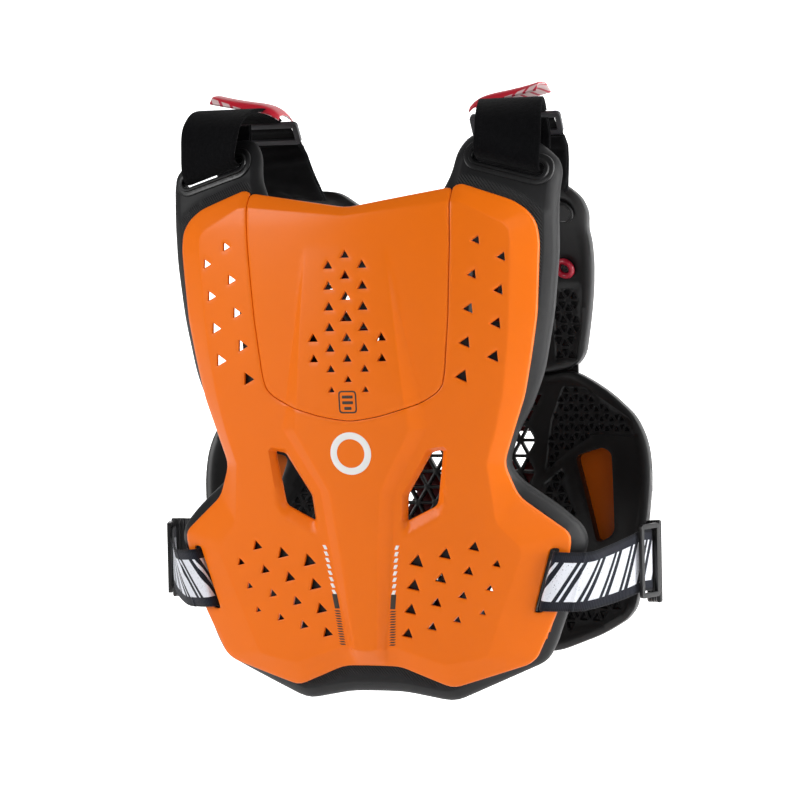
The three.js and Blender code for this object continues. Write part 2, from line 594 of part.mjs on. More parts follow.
function fieldHoles(field) {
  return field.rows.flatMap(([first, last, row]) => {
    const holes = [];
    for (let column = first; column <= last; column += 1) {
      const rowAcross = field.rowAcross * (1 - field.narrow * row);
      const centre = onPanel({
        across: field.across + column * rowAcross + row * field.nextAcross,
        down: field.down + column * field.rowDown + row * field.nextDown,
      });
      const size = field.size + column * field.grow - row * field.fade;
      holes.push(triangleHole(centre, size, -field.turn));
    }
    return holes;
  });
}

function plateHoles() {
  const middle = PLATE_HOLES.top + 3 * PLATE_HOLES.pitchDown;
  return PLATE_COLUMNS.flatMap(({ column, first, count }) => {
    const sides = column ? [1, -1] : [1];
    return sides.flatMap((side) => Array.from({ length: count }, (_, row) => {
      const down = PLATE_HOLES.top + (first + row) * PLATE_HOLES.pitchDown;
      const away = Math.abs(down - middle) / (3.5 * PLATE_HOLES.pitchDown);
      const size = PLATE_HOLES.size * (down > middle ? 1 - 0.35 * away ** 2 : 1 - 0.12 * away ** 2);
      return triangleHole(onPanel({ across: side * column * PLATE_HOLES.pitchAcross, down }), size, 0);
    }));
  });
}

function sideSlot(width, length) {
  const lean = SIDE_STRAP_ROWS[0].lean;
  const [x, z] = onPanel(SIDE_SLOT_PLACE);
  const [halfWidth, halfDrop] = [width / 2, length / 2 / Math.hypot(1, lean)];
  return [[-1, 1], [-1, -1], [1, -1], [1, 1]].map(([out, up]) => [
    x + out * halfWidth + up * halfDrop * lean, z + up * halfDrop]);
}

function linerWindow({ across, down, width, height, lean }) {
  return [[-1, -1], [-1, 1], [1, 1], [1, -1]].map(([out, low]) => onPanel({
    across: across + out * width / 2 + low * height / 2 * lean, down: down + low * height / 2 }));
}

// Triangles of a strut lattice that lie wholly inside a region mirrored about the centre line.
function latticeHoles({ across, down, low, waist }) {
  const [halfTop, top] = onBack({ across, down });
  const [halfLow, bottom] = onBack({ across: waist, down: low });
  const region = [[halfTop, top], [-halfTop, top], [-halfLow, bottom], [halfLow, bottom]];
  const rise = LATTICE_PITCH * Math.sqrt(3) / 2;
  const size = (LATTICE_PITCH / Math.sqrt(3)) - LATTICE_STRUT;
  const loops = [];
  for (let row = 0; top - (row + 1) * rise > bottom; row += 1) {
    for (let step = -8; step <= 8; step += 1) {
      const up = (step + row) % 2 === 0;
      const centre = [step * LATTICE_PITCH / 2, top - (row + (up ? 2 : 1) / 3) * rise];
      const whole = triangleHole(centre, LATTICE_PITCH / Math.sqrt(3) - 0.5, up ? 0 : 180);
      if (whole.every((corner) => isInside(corner, region))) {
        loops.push(triangleHole(centre, size, up ? 0 : 180));
      }
    }
  }
  return loops;
}

// Slightly smaller or larger copies of a loop, for gaps between neighbours.
function inset(loop, distance) {
  return loop.map((point, index) => {
    const before = loop[(index + loop.length - 1) % loop.length];
    const after = loop[(index + 1) % loop.length];
    const normals = [[before, point], [point, after]].map(([a, b]) => {
      const length = Math.hypot(b[0] - a[0], b[1] - a[1]);
      return [(b[1] - a[1]) / length, (a[0] - b[0]) / length];
    });
    const [x, z] = [0, 1].map((axis) => normals[0][axis] + normals[1][axis]);
    const stretch = distance * 2 / Math.max(x * x + z * z, 0.5);
    const turn = THREE.ShapeUtils.isClockWise(loop.map(([px, pz]) => new THREE.Vector2(px, pz))) ? 1 : -1;
    return [point[0] + turn * x * stretch, point[1] + turn * z * stretch];
  });
}

// The sub-parts
const creaseOf = (rows) => rows.map((row) => onPanel({ across: row.creaseAcross, down: row.creaseDown }));
const spineCreases = (rows) => [
  rows.map(onPanel), rows.map(({ foot, down }) => onPanel({ across: foot, down }))];

function frontShell() {
  const seam = SEAM_ROWS.map(onPanel);
  const side = [...seam.slice(0, -1).reverse(), ...SHELL_ROWS.slice(2).map(onPanel)];
  const outline = [seam.at(-1), ...side, ...side.slice(0, -1).map(mirrorPoint).reverse()];
  const creaseSide = creaseOf(SHELL_ROWS.slice(1));
  const spine = spineCreases(SPINE_ROWS.filter(({ down }) => down > SEAM_ROWS.at(-1).down));
  const holes = bothSides([...HOLE_FIELDS.flatMap(fieldHoles), VENT_LINES.opening,
    sideSlot(SIDE_SLOT_WIDTH, SIDE_SLOT_LENGTH)]);
  const creases = bothSides([creaseSide, ...spine, [...VENT_LINES.rim, VENT_LINES.rim[0]]]);
  return sheet({ outline, holes, creases, front: shellFront, back: shellBack });
}

function chestPlate() {
  const neckCrease = [0, 1].map((row) => onPanel({
    across: SHELL_ROWS[row].creaseAcross * 0.98, down: SHELL_ROWS[row].creaseDown }));
  const spine = spineCreases(SPINE_ROWS.filter(({ down }) => down < SEAM_ROWS.at(-1).down));
  return sheet({
    outline: inset([...bothHalves(SEAM_ROWS, onPanel), onPanel(SHELL_ROWS[0])], SEAM_GAP),
    holes: plateHoles(), creases: bothSides([neckCrease, ...spine]), front: shellFront, back: shellBack,
  });
}

function frontLiner() {
  const centre = LINER_CENTRE_WINDOW;
  const centreWindow = [[-1, centre.top], [-1, centre.bottom], [1, centre.bottom], [1, centre.top]]
    .map(([side, down]) => onPanel({ across: side * centre.width / 2, down }));
  const windows = [...LINER_WINDOWS.map(linerWindow), inset(VENT_LINES.rim, -2),
    sideSlot(SIDE_SLOT_WIDTH + 3, SIDE_SLOT_LENGTH + 2),
    stadium(onPanel(TAB_SLOT_PLACE), STRAP_SLOT_LENGTH / 2, STRAP_SLOT_HEIGHT / 2, -STRAP_SLOT_TILT)];
  const creaseSide = creaseOf(SHELL_ROWS.slice(1));
  const edgeSide = [LINER_ROWS[2], ...SHELL_ROWS.slice(1, 11)].map(onPanel);
  const lowEdge = SHELL_ROWS.slice(11).map(onPanel);
  return sheet({
    outline: bothHalves(LINER_ROWS, onPanel), holes: [centreWindow, ...bothSides(windows)],
    creases: bothSides([creaseSide, edgeSide, lowEdge]), front: linerFront, back: linerBack,
  });
}

function slotBezel() {
  const loop = (extra) => stadium(onPanel(TAB_SLOT_PLACE), STRAP_SLOT_LENGTH / 2 + extra,
    STRAP_SLOT_HEIGHT / 2 + extra, -STRAP_SLOT_TILT);
  return sheet({
    outline: loop(BEZEL_WIDTH), holes: [loop(0)], spacing: 20,
    front: (x, z) => linerFront(x, z) - FIT_GAP - BEZEL_RISE, back: (x, z) => linerFront(x, z) - FIT_GAP,
  });
}

const shoulderStrap = () => band(pathOn(SHOULDER_RUN, SHOULDER_STRAP_ROWS), {
  width: SHOULDER_WEBBING, wall: SHOULDER_STRAP_WALL, steps: 22,
  across: (blend) => {
    const roll = radians(blend('roll', 0));
    return new THREE.Vector3(Math.cos(roll), Math.sin(roll) * 0.8, -Math.sin(roll));
  },
});

const endTab = () => {
  const { x, y, z } = placeOn(SHOULDER_RUN, END_TAB_PLACE);
  const tilt = radians(END_TAB_TILT);
  const bend = [{ share: -0.5, fall: 4 }, { share: -0.2, fall: 0.8 }, { share: 0.15, fall: 0.6 },
    { share: 0.5, fall: 6 }];
  const path = bend.map(({ share, fall }) => ({ x, y: y + share * END_TAB_LENGTH, z: z - fall }));
  return band(path, {
    width: END_TAB_WIDTH, wall: END_TAB_WALL, steps: 6,
    across: () => new THREE.Vector3(Math.cos(tilt), 0, Math.sin(tilt)),
  });
};

const sliderUp = new THREE.Vector3(0, -Math.cos(radians(SLIDER_FALL)), Math.sin(radians(SLIDER_FALL)));
const slider = () => placed(
  frameGeometry({ width: SLIDER_WIDTH, height: SLIDER_HEIGHT, bar: SLIDER_BAR, wall: SLIDER_BAR * 0.8 }),
  placeOn(SHOULDER_RUN, SLIDER_PLACE), new THREE.Vector3(1, 0, 0), sliderUp);

const yoke = () => band(pathOn(SHOULDER_RUN, YOKE_ROWS), {
  width: YOKE_WIDTH, wall: YOKE_WALL, steps: 10,
  across: (blend) => new THREE.Vector3(1, -blend('turn', 0), 0),
});

const sideStrap = () => band(pathOn(SIDE_RUN, SIDE_STRAP_ROWS), {
  width: WEBBING, wall: SIDE_STRAP_WALL, steps: 24,
  across: (blend) => new THREE.Vector3(-blend('lean', 0), blend('tilt', 0), -1),
});

// The buckle lies along the strap's end and turns with it.
const buckle = () => {
  const [before, end] = pathOn(SIDE_RUN, SIDE_STRAP_ROWS.slice(-2));
  const heading = new THREE.Vector3(end.x - before.x, end.y - before.y, 0).normalize();
  return placed(
    frameGeometry({ width: BUCKLE_LENGTH, height: BUCKLE_HEIGHT, bar: BUCKLE_BAR, wall: BUCKLE_WALL }),
    placeOn(SIDE_RUN, BUCKLE_PLACE), heading, new THREE.Vector3(0, 0, 1));
};

const buckleAnchor = () => band(pathOn(SIDE_RUN, ANCHOR_ROWS), {
  width: ANCHOR_HEIGHT, wall: ANCHOR_WALL, across: () => new THREE.Vector3(0, 0, -1),
});

function backUpperLiner() {
  return sheet({
    outline: bothHalves(UPPER_BACK_ROWS, onBack), holes: latticeHoles(UPPER_LATTICE), spacing: 20,
    front: backInner, back: backOuter,
  });
}

const belowJoint = ([x, z], index) => [x, index < 3 ? z - BACK_JOINT_GAP : z];

function backLowerLiner() {
  const rows = LOWER_BACK_ROWS.map(onBack).map(belowJoint);
  const outline = [...rows, ...rows.filter(([x]) => x > 0).map(mirrorPoint).reverse()];
  return sheet({
    outline, holes: [...latticeHoles(LOWER_LATTICE), ...bothSides([WING_WINDOW.map(onBack)])],
    front: backInner, back: backOuter,
  });
}

// The outer shells follow their liners a little inside the edge, with vents of their own.
function backShell(rows, vents, margin) {
  const holes = vents.flatMap(({ across, down, size }) => {
    const hole = triangleHole(onBack({ across, down }), size, 180);
    return across ? bothSides([hole]) : [hole];
  });
  return sheet({
    outline: inset(rows, margin), holes, spacing: 22, front: backShellInner, back: backShellOuter,
  });
}

// A turned piece seated on the inner face of the back, its axis square to that face.
function seatedOnBack(profile, place) {
  const [[x, z], step] = [onBack(place), 1];
  const slope = (dx, dz) => (backInner(x + dx, z + dz) - backInner(x - dx, z - dz)) / (2 * step);
  const normal = new THREE.Vector3(slope(step, 0), -1, slope(0, step)).normalize();
  const outline = profile.map(([radius, rise]) => new THREE.Vector2(radius, rise));
  const centre = new THREE.Vector3(x, backInner(x, z), z).addScaledVector(normal, SEAT_GAP);
  const turn = new THREE.Quaternion().setFromUnitVectors(new THREE.Vector3(0, 1, 0), normal);
  return new THREE.LatheGeometry(outline, 16).applyQuaternion(turn).translate(...centre.toArray());
}

const backCap = () => seatedOnBack(
  [[0, 0], [CAP_DIAMETER / 2, 0], [CAP_DIAMETER / 2, CAP_RISE * 0.5], [CAP_DIAMETER * 0.44, CAP_RISE],
    [0, CAP_RISE]], CAP_PLACE);

const backGrommet = () => {
  const [bore, rim] = [GROMMET_BORE / 2, GROMMET_DIAMETER / 2];
  const middle = (bore + rim) / 2;
  return seatedOnBack([[bore, 0], [rim, 0], [rim, GROMMET_RISE * 0.5], [middle, GROMMET_RISE],
    [bore, GROMMET_RISE * 0.6], [bore, 0]], GROMMET_PLACE);
};

const part = new THREE.Group();

function add(name, geometry, finish) {
  const mesh = new THREE.Mesh(geometry, finish);
  mesh.name = name;
  part.add(mesh);
}

add('front_shell', frontShell(), FINISH.shell);
add('chest_plate', chestPlate(), FINISH.shell);
add('front_liner', frontLiner(), FINISH.foam);
add('back_upper_liner', backUpperLiner(), FINISH.foam);
add('back_lower_liner', backLowerLiner(), FINISH.foam);
add('back_upper_shell', backShell(bothHalves(UPPER_BACK_ROWS, onBack), UPPER_SHELL_VENTS, 6), FINISH.shell);
add('back_lower_shell', backShell(bothHalves(LOWER_BACK_ROWS, onBack), LOWER_SHELL_VENTS, 6), FINISH.shell);

const PAIRED = [
  { name: 'slot_bezel', make: slotBezel, finish: FINISH.plastic },
  { name: 'shoulder_strap', make: shoulderStrap, finish: FINISH.fabric },
  { name: 'strap_end_tab', make: endTab, finish: FINISH.red },
  { name: 'shoulder_slider', make: slider, finish: FINISH.plastic },
  { name: 'shoulder_yoke', make: yoke, finish: FINISH.fabric },
  { name: 'side_strap', make: sideStrap, finish: FINISH.elastic },
  { name: 'side_buckle', make: buckle, finish: FINISH.plastic },
  { name: 'buckle_anchor', make: buckleAnchor, finish: FINISH.plastic },
  { name: 'back_cap', make: backCap, finish: FINISH.plastic },
  { name: 'back_grommet', make: backGrommet, finish: FINISH.red },
];
for (const { name, make, finish } of PAIRED) {
  add(`${name}_left`, make(), finish);
  add(`${name}_right`, mirrored(make()), finish);
}

export default part;
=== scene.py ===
# %% [markdown]
# # A roost deflector
# A roost deflector is the chest and back armour of a motocross rider: a hard pierced shell on a foam
# liner in front, a two-piece protector behind, straps over the shoulders and elastic round the waist.
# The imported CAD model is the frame. Every piece below is built over it, in metres, where the CAD says.

# %% Frame
import math

import bmesh
import bpy
import numpy as np
from mathutils import Matrix, Vector, geometry


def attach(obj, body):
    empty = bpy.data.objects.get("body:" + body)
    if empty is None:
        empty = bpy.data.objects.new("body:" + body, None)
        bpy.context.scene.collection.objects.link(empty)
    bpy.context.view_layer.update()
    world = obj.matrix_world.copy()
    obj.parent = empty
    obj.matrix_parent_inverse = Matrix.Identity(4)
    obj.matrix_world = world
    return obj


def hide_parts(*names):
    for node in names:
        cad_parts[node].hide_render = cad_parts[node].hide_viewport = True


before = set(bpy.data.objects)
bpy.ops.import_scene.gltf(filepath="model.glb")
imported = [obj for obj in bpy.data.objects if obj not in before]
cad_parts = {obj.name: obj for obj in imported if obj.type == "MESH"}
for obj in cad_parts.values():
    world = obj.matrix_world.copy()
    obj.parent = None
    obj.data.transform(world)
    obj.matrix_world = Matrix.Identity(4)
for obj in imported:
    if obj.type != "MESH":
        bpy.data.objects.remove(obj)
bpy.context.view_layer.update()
MM = 0.001
print("nodes:", len(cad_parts))

# %% [markdown]
# ## Camera
# The photograph was taken from far away with a long lens, a little to the wearer's left and almost
# level, and it is turned by about one degree. A lens of 130 mm on a 36 mm sensor gives the same view.

# %% Camera
AIM = Vector((35, -48.6, -230.6)) * MM
DISTANCE, AZIMUTH, ELEVATION, ROLL = 2.289, math.radians(18), math.radians(2), math.radians(1.2)
away = Vector((math.sin(AZIMUTH) * math.cos(ELEVATION), -math.cos(AZIMUTH) * math.cos(ELEVATION),
               math.sin(ELEVATION)))
bpy.ops.object.camera_add(location=AIM + DISTANCE * away)
camera = bpy.context.object
turn = away.to_track_quat("Z", "Y").to_matrix().to_4x4() @ Matrix.Rotation(-ROLL, 4, "Z")
camera.matrix_world = Matrix.Translation(AIM + DISTANCE * away) @ turn
camera.data.lens, camera.data.sensor_width = 129.8, 36
camera.data.clip_end = 50
bpy.context.scene.camera = camera
print("camera at", [round(value, 3) for value in camera.location])

# %% [markdown]
# ## Flat patterns
# The panels are flat in pattern and curved in form, as if cut from sheet and pressed. A pattern is
# written in shares of its panel: how far out from the centre line, and how far down. Drawing it flat
# keeps every hole crisp; the curvature comes afterwards from a form.

# %% Shares of the panels
HALF_PANEL, PANEL_TOP, PANEL_HEIGHT = 165, -61, 403
HALF_BACK, BACK_TOP, BACK_HEIGHT = 199, -58, 398


def on_panel(rows):
    """Shares of the chest panel to millimetres."""
    return np.array([(across * HALF_PANEL, PANEL_TOP - down * PANEL_HEIGHT) for across, down in rows])


def on_back(rows):
    """Shares of the back to millimetres."""
    return np.array([(across * HALF_BACK, BACK_TOP - down * BACK_HEIGHT) for across, down in rows])


def mirrored_loop(loop):
    return np.array([(-x, z) for x, z in loop[::-1]])


def both_halves(side):
    """Both halves of an outline whose rows run down one side."""
    return np.vstack([side, [(-x, z) for x, z in side[::-1] if x > 0]])


SHELL_EDGE_SIDE = on_panel([
    (0, .04), (.515, .005), (.552, 0), (.794, .035), (.861, .055), (.9, .079), (.912, .114), (.89, .256),
    (.858, .333), (.818, .414), (.759, .484), (.706, .548), (.765, .614), (.996, .69), (.985, .725),
    (.913, .845), (.806, .938), (.764, .952), (.398, .999), (.144, .955), (0, .954)])
SHELL_CREASE_SIDE = on_panel([
    (0, .057), (.515, .035), (.564, .036), (.703, .067), (.758, .078), (.788, .092), (.791, .122),
    (.773, .258), (.755, .335), (.727, .414), (.684, .486), (.638, .546), (.666, .665), (.764, .71),
    (.778, .728), (.673, .839), (.588, .931), (.552, .937), (.38, .949), (.135, .914), (0, .92)])
LINER_SIDE = on_panel([
    (0, .05), (.436, .02), (.448, .0096), (.481, -.02), (.499, -.067), (.539, -.094), (.606, -.107),
    (.776, -.102), (.897, -.074), (.976, -.045), (.997, -.02), (.988, .012), (.982, .047), (.975, .141),
    (.944, .256), (.891, .367), (.824, .44), (.759, .484), (.706, .548), (.752, .581), (.925, .635),
    (1.027, .675), (1.051, .705), (1.03, .735), (.939, .848), (.877, .916), (.83, .95), (.382, 1.031),
    (.138, 1.011), (0, 1.01)])
SEAM_SIDE = on_panel([
    (.515, .005), (.515, .035), (.513, .11), (.492, .257), (.464, .367), (.45, .393), (.419, .408),
    (.342, .427), (.244, .44), (.143, .452), (0, .461)])
SHELL_EDGE = both_halves(SHELL_EDGE_SIDE)
VENT_OPENING = on_panel([(.429, .519), (.372, .524), (.245, .608), (.233, .66), (.376, .631), (.39, .623)])
SIDE_SLOT_PLACE, WING_PLACE = (.876, .782), (.995, .79)
TAB_SLOT_PLACE, BACK_TOP_PLACE = (.757, -.041), (.543, .019)
VENT_RIM = on_panel([(.458, .511), (.36, .516), (.226, .606), (.205, .694), (.4, .652), (.424, .628)])
print("shell outline corners:", len(SHELL_EDGE))

# %% [markdown]
# Four measures are needed of a place on a pattern: whether it lies inside a loop, how far it is from
# one, how far inside it is, and what share of the way it has gone between two. They work on all the
# places at once.

# %% Measures on a pattern
def is_inside(points, loop):
    x, z = points[:, 0], points[:, 1]
    hit = np.zeros(len(points), bool)
    for (ax, az), (bx, bz) in zip(loop, np.roll(loop, -1, 0)):
        if az != bz:
            hit ^= ((az > z) != (bz > z)) & (x < ax + (bx - ax) * (z - az) / (bz - az))
    return hit


def distance_to(points, line, closed=True):
    ends = np.roll(line, -1, 0) if closed else line[1:]
    best = np.full(len(points), 1e9)
    for start, end in zip(line, ends):
        along = end - start
        share = np.clip((points - start) @ along / max(along @ along, 1e-12), 0, 1)
        gap = points - start - share[:, None] * along
        best = np.minimum(best, np.hypot(gap[:, 0], gap[:, 1]))
    return best


def depth_inside(points, loop):
    """How far inside a loop each place lies, and 0 outside it."""
    return np.where(is_inside(points, loop), distance_to(points, loop), 0)


def share_between(points, edge, crease):
    """0 inside the crease, 1 on the edge and beyond."""
    from_crease = np.where(is_inside(points, crease), 0, distance_to(points, crease))
    from_edge = depth_inside(points, edge)
    return from_crease / np.maximum(from_crease + from_edge, 1e-9)


# %% [markdown]
# The shell's border is made of flat facets. Each one lies between two corners of the crease and two of
# the edge, and the share runs straight across it. Neighbouring facets meet in a sharp line that way.

# %% Facets of the border
def facet_share(points, crease, edge):
    """0 inside the crease, 1 on the edge and beyond, straight across each facet between them."""
    place = np.column_stack([np.abs(points[:, 0]), points[:, 1]])
    share = np.where(is_inside(place, both_halves(crease)), 0.0, 1.0)
    for first, second, far, near in zip(crease, crease[1:], edge[1:], edge):
        held = is_inside(place, np.array([first, second, far, near]))
        to_first, to_second = first - place[held], second - place[held]
        side, other = near - first, far - second
        square = side[0] * other[1] - side[1] * other[0]
        linear = (to_first[:, 0] * other[1] - to_first[:, 1] * other[0]
                  + side[0] * to_second[:, 1] - side[1] * to_second[:, 0])
        constant = to_first[:, 0] * to_second[:, 1] - to_first[:, 1] * to_second[:, 0]
        bottom = -linear - np.sign(linear) * np.sqrt(np.maximum(linear ** 2 - 4 * square * constant, 0))
        near_root, far_root = 2 * constant / bottom, bottom / (2 * square if abs(square) > 1e-6 else 1e-6)
        fits = (near_root > -1e-6) & (near_root < 1.001)
        share[held] = np.clip(np.where(fits, near_root, far_root), 0, 1)
    return share


# %% [markdown]
# ## Forms
# A form says how far back the surface lies at a place of the front view. The chest leans back towards
# the waist, wraps round the ribs, falls away in a border, rises in a spine and falls into the vents.
# The numbers are those of the CAD, so the pieces lie in the same place.

# %% Chest form
CURVE = 2 * 460
CHEST_FRONT, CHEST_BREAK, SHOULDER_LEAN, SHOULDER_RISE = -76, -90, 26, 72
CHEST_LEAN, WAIST_DROP = 38, 342
BORDER_FALL, SPINE_HEIGHT, VENT_DEPTH = 7, 6, 5
SPINE_DOWN = [.117, .25, .404, .479, .598, .742, .918]
SPINE_UPPER = [.199, .235, .267, .29, .13, .09, .058]
SPINE_FOOT = [.203, .262, .336, .365, .19, .15, .09]
SPINE_RISE = [0, .5, 1, 1, 1, 1, 1]


def border_share(points):
    return facet_share(points, SHELL_CREASE_SIDE, SHELL_EDGE_SIDE)


def chest_base(points):
    x, z = points[:, 0], points[:, 1]
    above = CHEST_FRONT + SHOULDER_LEAN * (np.maximum(z - CHEST_BREAK, 0) / SHOULDER_RISE) ** 2
    below = CHEST_LEAN * (np.maximum(CHEST_BREAK - z, 0) / WAIST_DROP) ** 1.5
    return above + below + x * x / CURVE + BORDER_FALL * border_share(points)


def spine_rise(points):
    down = (PANEL_TOP - points[:, 1]) / PANEL_HEIGHT
    upper, foot, rise = (np.interp(down, SPINE_DOWN, row) for row in (SPINE_UPPER, SPINE_FOOT, SPINE_RISE))
    return SPINE_HEIGHT * rise * np.clip((foot - np.abs(points[:, 0]) / HALF_PANEL) / (foot - upper), 0, 1)


def vent_fall(points):
    place = np.column_stack([np.abs(points[:, 0]), points[:, 1]])
    return VENT_DEPTH * is_inside(place, VENT_RIM) * (1 - share_between(place, VENT_RIM, VENT_OPENING))


def shell_front(points):
    return chest_base(points) - spine_rise(points) * (1 - border_share(points)) + vent_fall(points)


def eased(form, radius):
    """The same form with its creases rounded, by taking the middle of eight places round each one."""
    turns = [(radius * math.cos(step), radius * math.sin(step)) for step in np.arange(8) * math.pi / 4]
    return lambda points: sum(form(points + np.array(move)) for move in turns) / len(turns)


# %% Back form
BACK_DEPTH, DEEPEST, BACK_ARCH, ARCH_RISE, BACK_TUCK, TUCK_DROP = 157, -270, 77, 212, 37, 186


def back_inner(points):
    x, z = points[:, 0], points[:, 1]
    arch = BACK_ARCH * (np.maximum(z - DEEPEST, 0) / ARCH_RISE) ** 3
    tuck = BACK_TUCK * (np.maximum(DEEPEST - z, 0) / TUCK_DROP) ** 1.6
    return BACK_DEPTH - arch - tuck - x * x / CURVE


print("deepest point of the back:", back_inner(np.array([[0.0, -270.0]]))[0])

# %% [markdown]
# ## From pattern to panel
# A constrained triangulation keeps the outline, the holes and the creases as edges, so a panel has no
# ragged rims. Rings just inside each rim carry the rounding. The flat sheet gets its thickness from a
# Solidify modifier, and then every point is moved back by the form, as a press would do it. A grid of
# cubes with boolean holes would give the same panel with far worse shading round every hole.

# %% Cutting and pressing
def softened(loop, reach):
    """Rounds each corner of a loop, starting reach millimetres before it."""
    result = []
    for before, corner, after in zip(np.roll(loop, 1, 0), loop, np.roll(loop, -1, 0)):
        sides = [before - corner, after - corner]
        lengths = [np.hypot(*side) for side in sides]
        cut = min(reach, *(0.45 * length for length in lengths))
        start, end = (corner + side * cut / length for side, length in zip(sides, lengths))
        for share in (0, 0.33, 0.67, 1):
            result.append((1 - share) ** 2 * start + 2 * share * (1 - share) * corner + share ** 2 * end)
    return np.array(result)


def moved_in(loop, distance):
    """A copy of a loop, moved towards its inside."""
    x, z = loop.T
    turn = 1 if np.sum(x * np.roll(z, -1) - np.roll(x, -1) * z) > 0 else -1
    before, after = loop - np.roll(loop, 1, 0), np.roll(loop, -1, 0) - loop
    normals = sum(np.column_stack([-side[:, 1], side[:, 0]]) / np.hypot(*side.T)[:, None]
                  for side in (before, after))
    stretch = 2 * distance / np.maximum(np.sum(normals ** 2, 1), 0.8)
    return loop + turn * normals * stretch[:, None]


def flat_pattern(outline, holes, creases, spacing, rims):
    """Points and triangles of a flat pattern."""
    lines = [(outline, True)] + [(hole, True) for hole in holes] + creases
    for loop, inwards, radius in [(outline, 1, rims[0])] + [(hole, -1, rims[1]) for hole in holes]:
        lines += [(moved_in(loop, inwards * radius * share), True) for share in (0.25, 1)]
    points, edges = [], []
    for line, closed in lines:
        first = len(points)
        ends = np.roll(line, -1, 0) if closed else line[1:]
        for start, end in zip(line, ends):
            parts = max(1, round(math.dist(start, end) / spacing))
            points += [start + (end - start) * part / parts for part in range(parts)]
        points += [] if closed else [line[-1]]
        edges += [(index, index + 1) for index in range(first, len(points) - 1)]
        edges += [(len(points) - 1, first)] if closed else []
    low, high = outline.min(0), outline.max(0)
    rows = np.arange(low[1], high[1], spacing * 0.866)
    grid = np.array([(x + spacing / 2 * (row % 2), z) for row, z in enumerate(rows)
                     for x in np.arange(low[0], high[0], spacing)])
    clear = is_inside(grid, outline)
    for line, closed in lines:
        (x0, z0), (x1, z1) = line.min(0) - spacing, line.max(0) + spacing
        near = clear & (grid[:, 0] > x0) & (grid[:, 0] < x1) & (grid[:, 1] > z0) & (grid[:, 1] < z1)
        clear[near] = distance_to(grid[near], line, closed) > spacing * 0.5
    points = np.vstack([points, grid[clear]])
    cut = geometry.delaunay_2d_cdt([Vector(point) for point in points], edges, [], 0, 1e-5, False)
    flat, faces = np.array([tuple(point) for point in cut[0]]), np.array([tuple(face) for face in cut[2]])
    middle = flat[faces].mean(1)
    keep = is_inside(middle, outline)
    for hole in holes:
        keep &= ~is_inside(middle, hole)
    return flat, faces[keep]


def rim_fall(points, loops, radius):
    """How far a rim is rounded off near the loops."""
    fall = np.zeros(len(points))
    for loop in loops:
        low, high = loop.min(0) - radius, loop.max(0) + radius
        near = ((points > low) & (points < high)).all(1)
        gap = np.minimum(distance_to(points[near], loop), radius)
        fall[near] = np.maximum(fall[near], radius - np.sqrt(radius ** 2 - (radius - gap) ** 2))
    return fall


def pressed_panel(name, outline, holes, creases, spacing, wall, rims, front, back=None):
    """A pierced panel: cut flat, given its wall, and pressed over its form."""
    flat, faces = flat_pattern(outline, holes, creases, spacing, rims)
    mesh = bpy.data.meshes.new(name)
    mesh.from_pydata([(x, 0, z) for x, z in flat], [], faces.tolist())
    panel = bpy.data.objects.new(name, mesh)
    bpy.context.collection.objects.link(panel)
    only(panel)
    modifier = panel.modifiers.new("Wall", "SOLIDIFY")
    modifier.thickness, modifier.offset = wall, 1 if mesh.polygons[0].normal.y > 0 else -1
    bpy.ops.object.modifier_apply(modifier="Wall")
    places = np.array([vertex.co[:] for vertex in panel.data.vertices])
    pattern, near = places[:, [0, 2]], places[:, 1] < wall / 2
    raised = front(pattern)
    fall = rim_fall(pattern, [outline], rims[0]) + rim_fall(pattern, holes, rims[1])
    depth = raised + wall if back is None else back(pattern)
    places[:, 1] = np.where(near, raised + fall, depth)
    panel.data.vertices.foreach_set("co", (places * MM).ravel())
    panel.data.update()
    bpy.ops.object.shade_smooth_by_angle(angle=math.radians(40))
    print(f"{name}: {len(panel.data.polygons)} faces, {len(holes)} holes")
    return panel


def only(piece):
    """Selects this piece alone and makes it the active one."""
    bpy.ops.object.select_all(action="DESELECT")
    piece.select_set(True)
    bpy.context.view_layer.objects.active = piece


def placed_on_frame(piece, material, slot, *nodes):
    """Gives a finished piece its material, and lets it stand for its CAD nodes."""
    piece.data.materials.clear()
    piece.data.materials.append(material)
    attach(piece, "root")
    if nodes:
        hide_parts(*nodes)
    return piece


# %% [markdown]
# ## Writing materials as sums
# A material here is a node tree, and most of its nodes only add, multiply or compare. A small class
# wraps a socket, so such nodes are written as Python expressions. Every other node comes from add.

# %% Wires and finishes
class Wire:
    """A socket that takes part in an expression."""

    def __init__(self, finish, socket):
        self.finish, self.socket = finish, socket

    def sum_with(self, operation, *others):
        values = dict(enumerate((self, *others)))
        return self.finish.add("Math", {"operation": operation}, values)

    def turned(self, operation, other):
        return self.finish.add("Math", {"operation": operation}, {0: other, 1: self})

    def __add__(self, other):
        return self.sum_with("ADD", other)

    def __sub__(self, other):
        return self.sum_with("SUBTRACT", other)

    def __mul__(self, other):
        return self.sum_with("MULTIPLY", other)

    def __truediv__(self, other):
        return self.sum_with("DIVIDE", other)

    def __rsub__(self, other):
        return self.turned("SUBTRACT", other)

    def __gt__(self, other):
        return self.sum_with("GREATER_THAN", other)

    def __lt__(self, other):
        return self.sum_with("LESS_THAN", other)

    def __abs__(self):
        return self.sum_with("ABSOLUTE")

    __radd__, __rmul__ = __add__, __mul__

    def part(self):
        return self.sum_with("FRACT")

    def wave(self, length):
        """A sine of that wave length in metres."""
        return (self * (2 * math.pi / length)).sum_with("SINE")


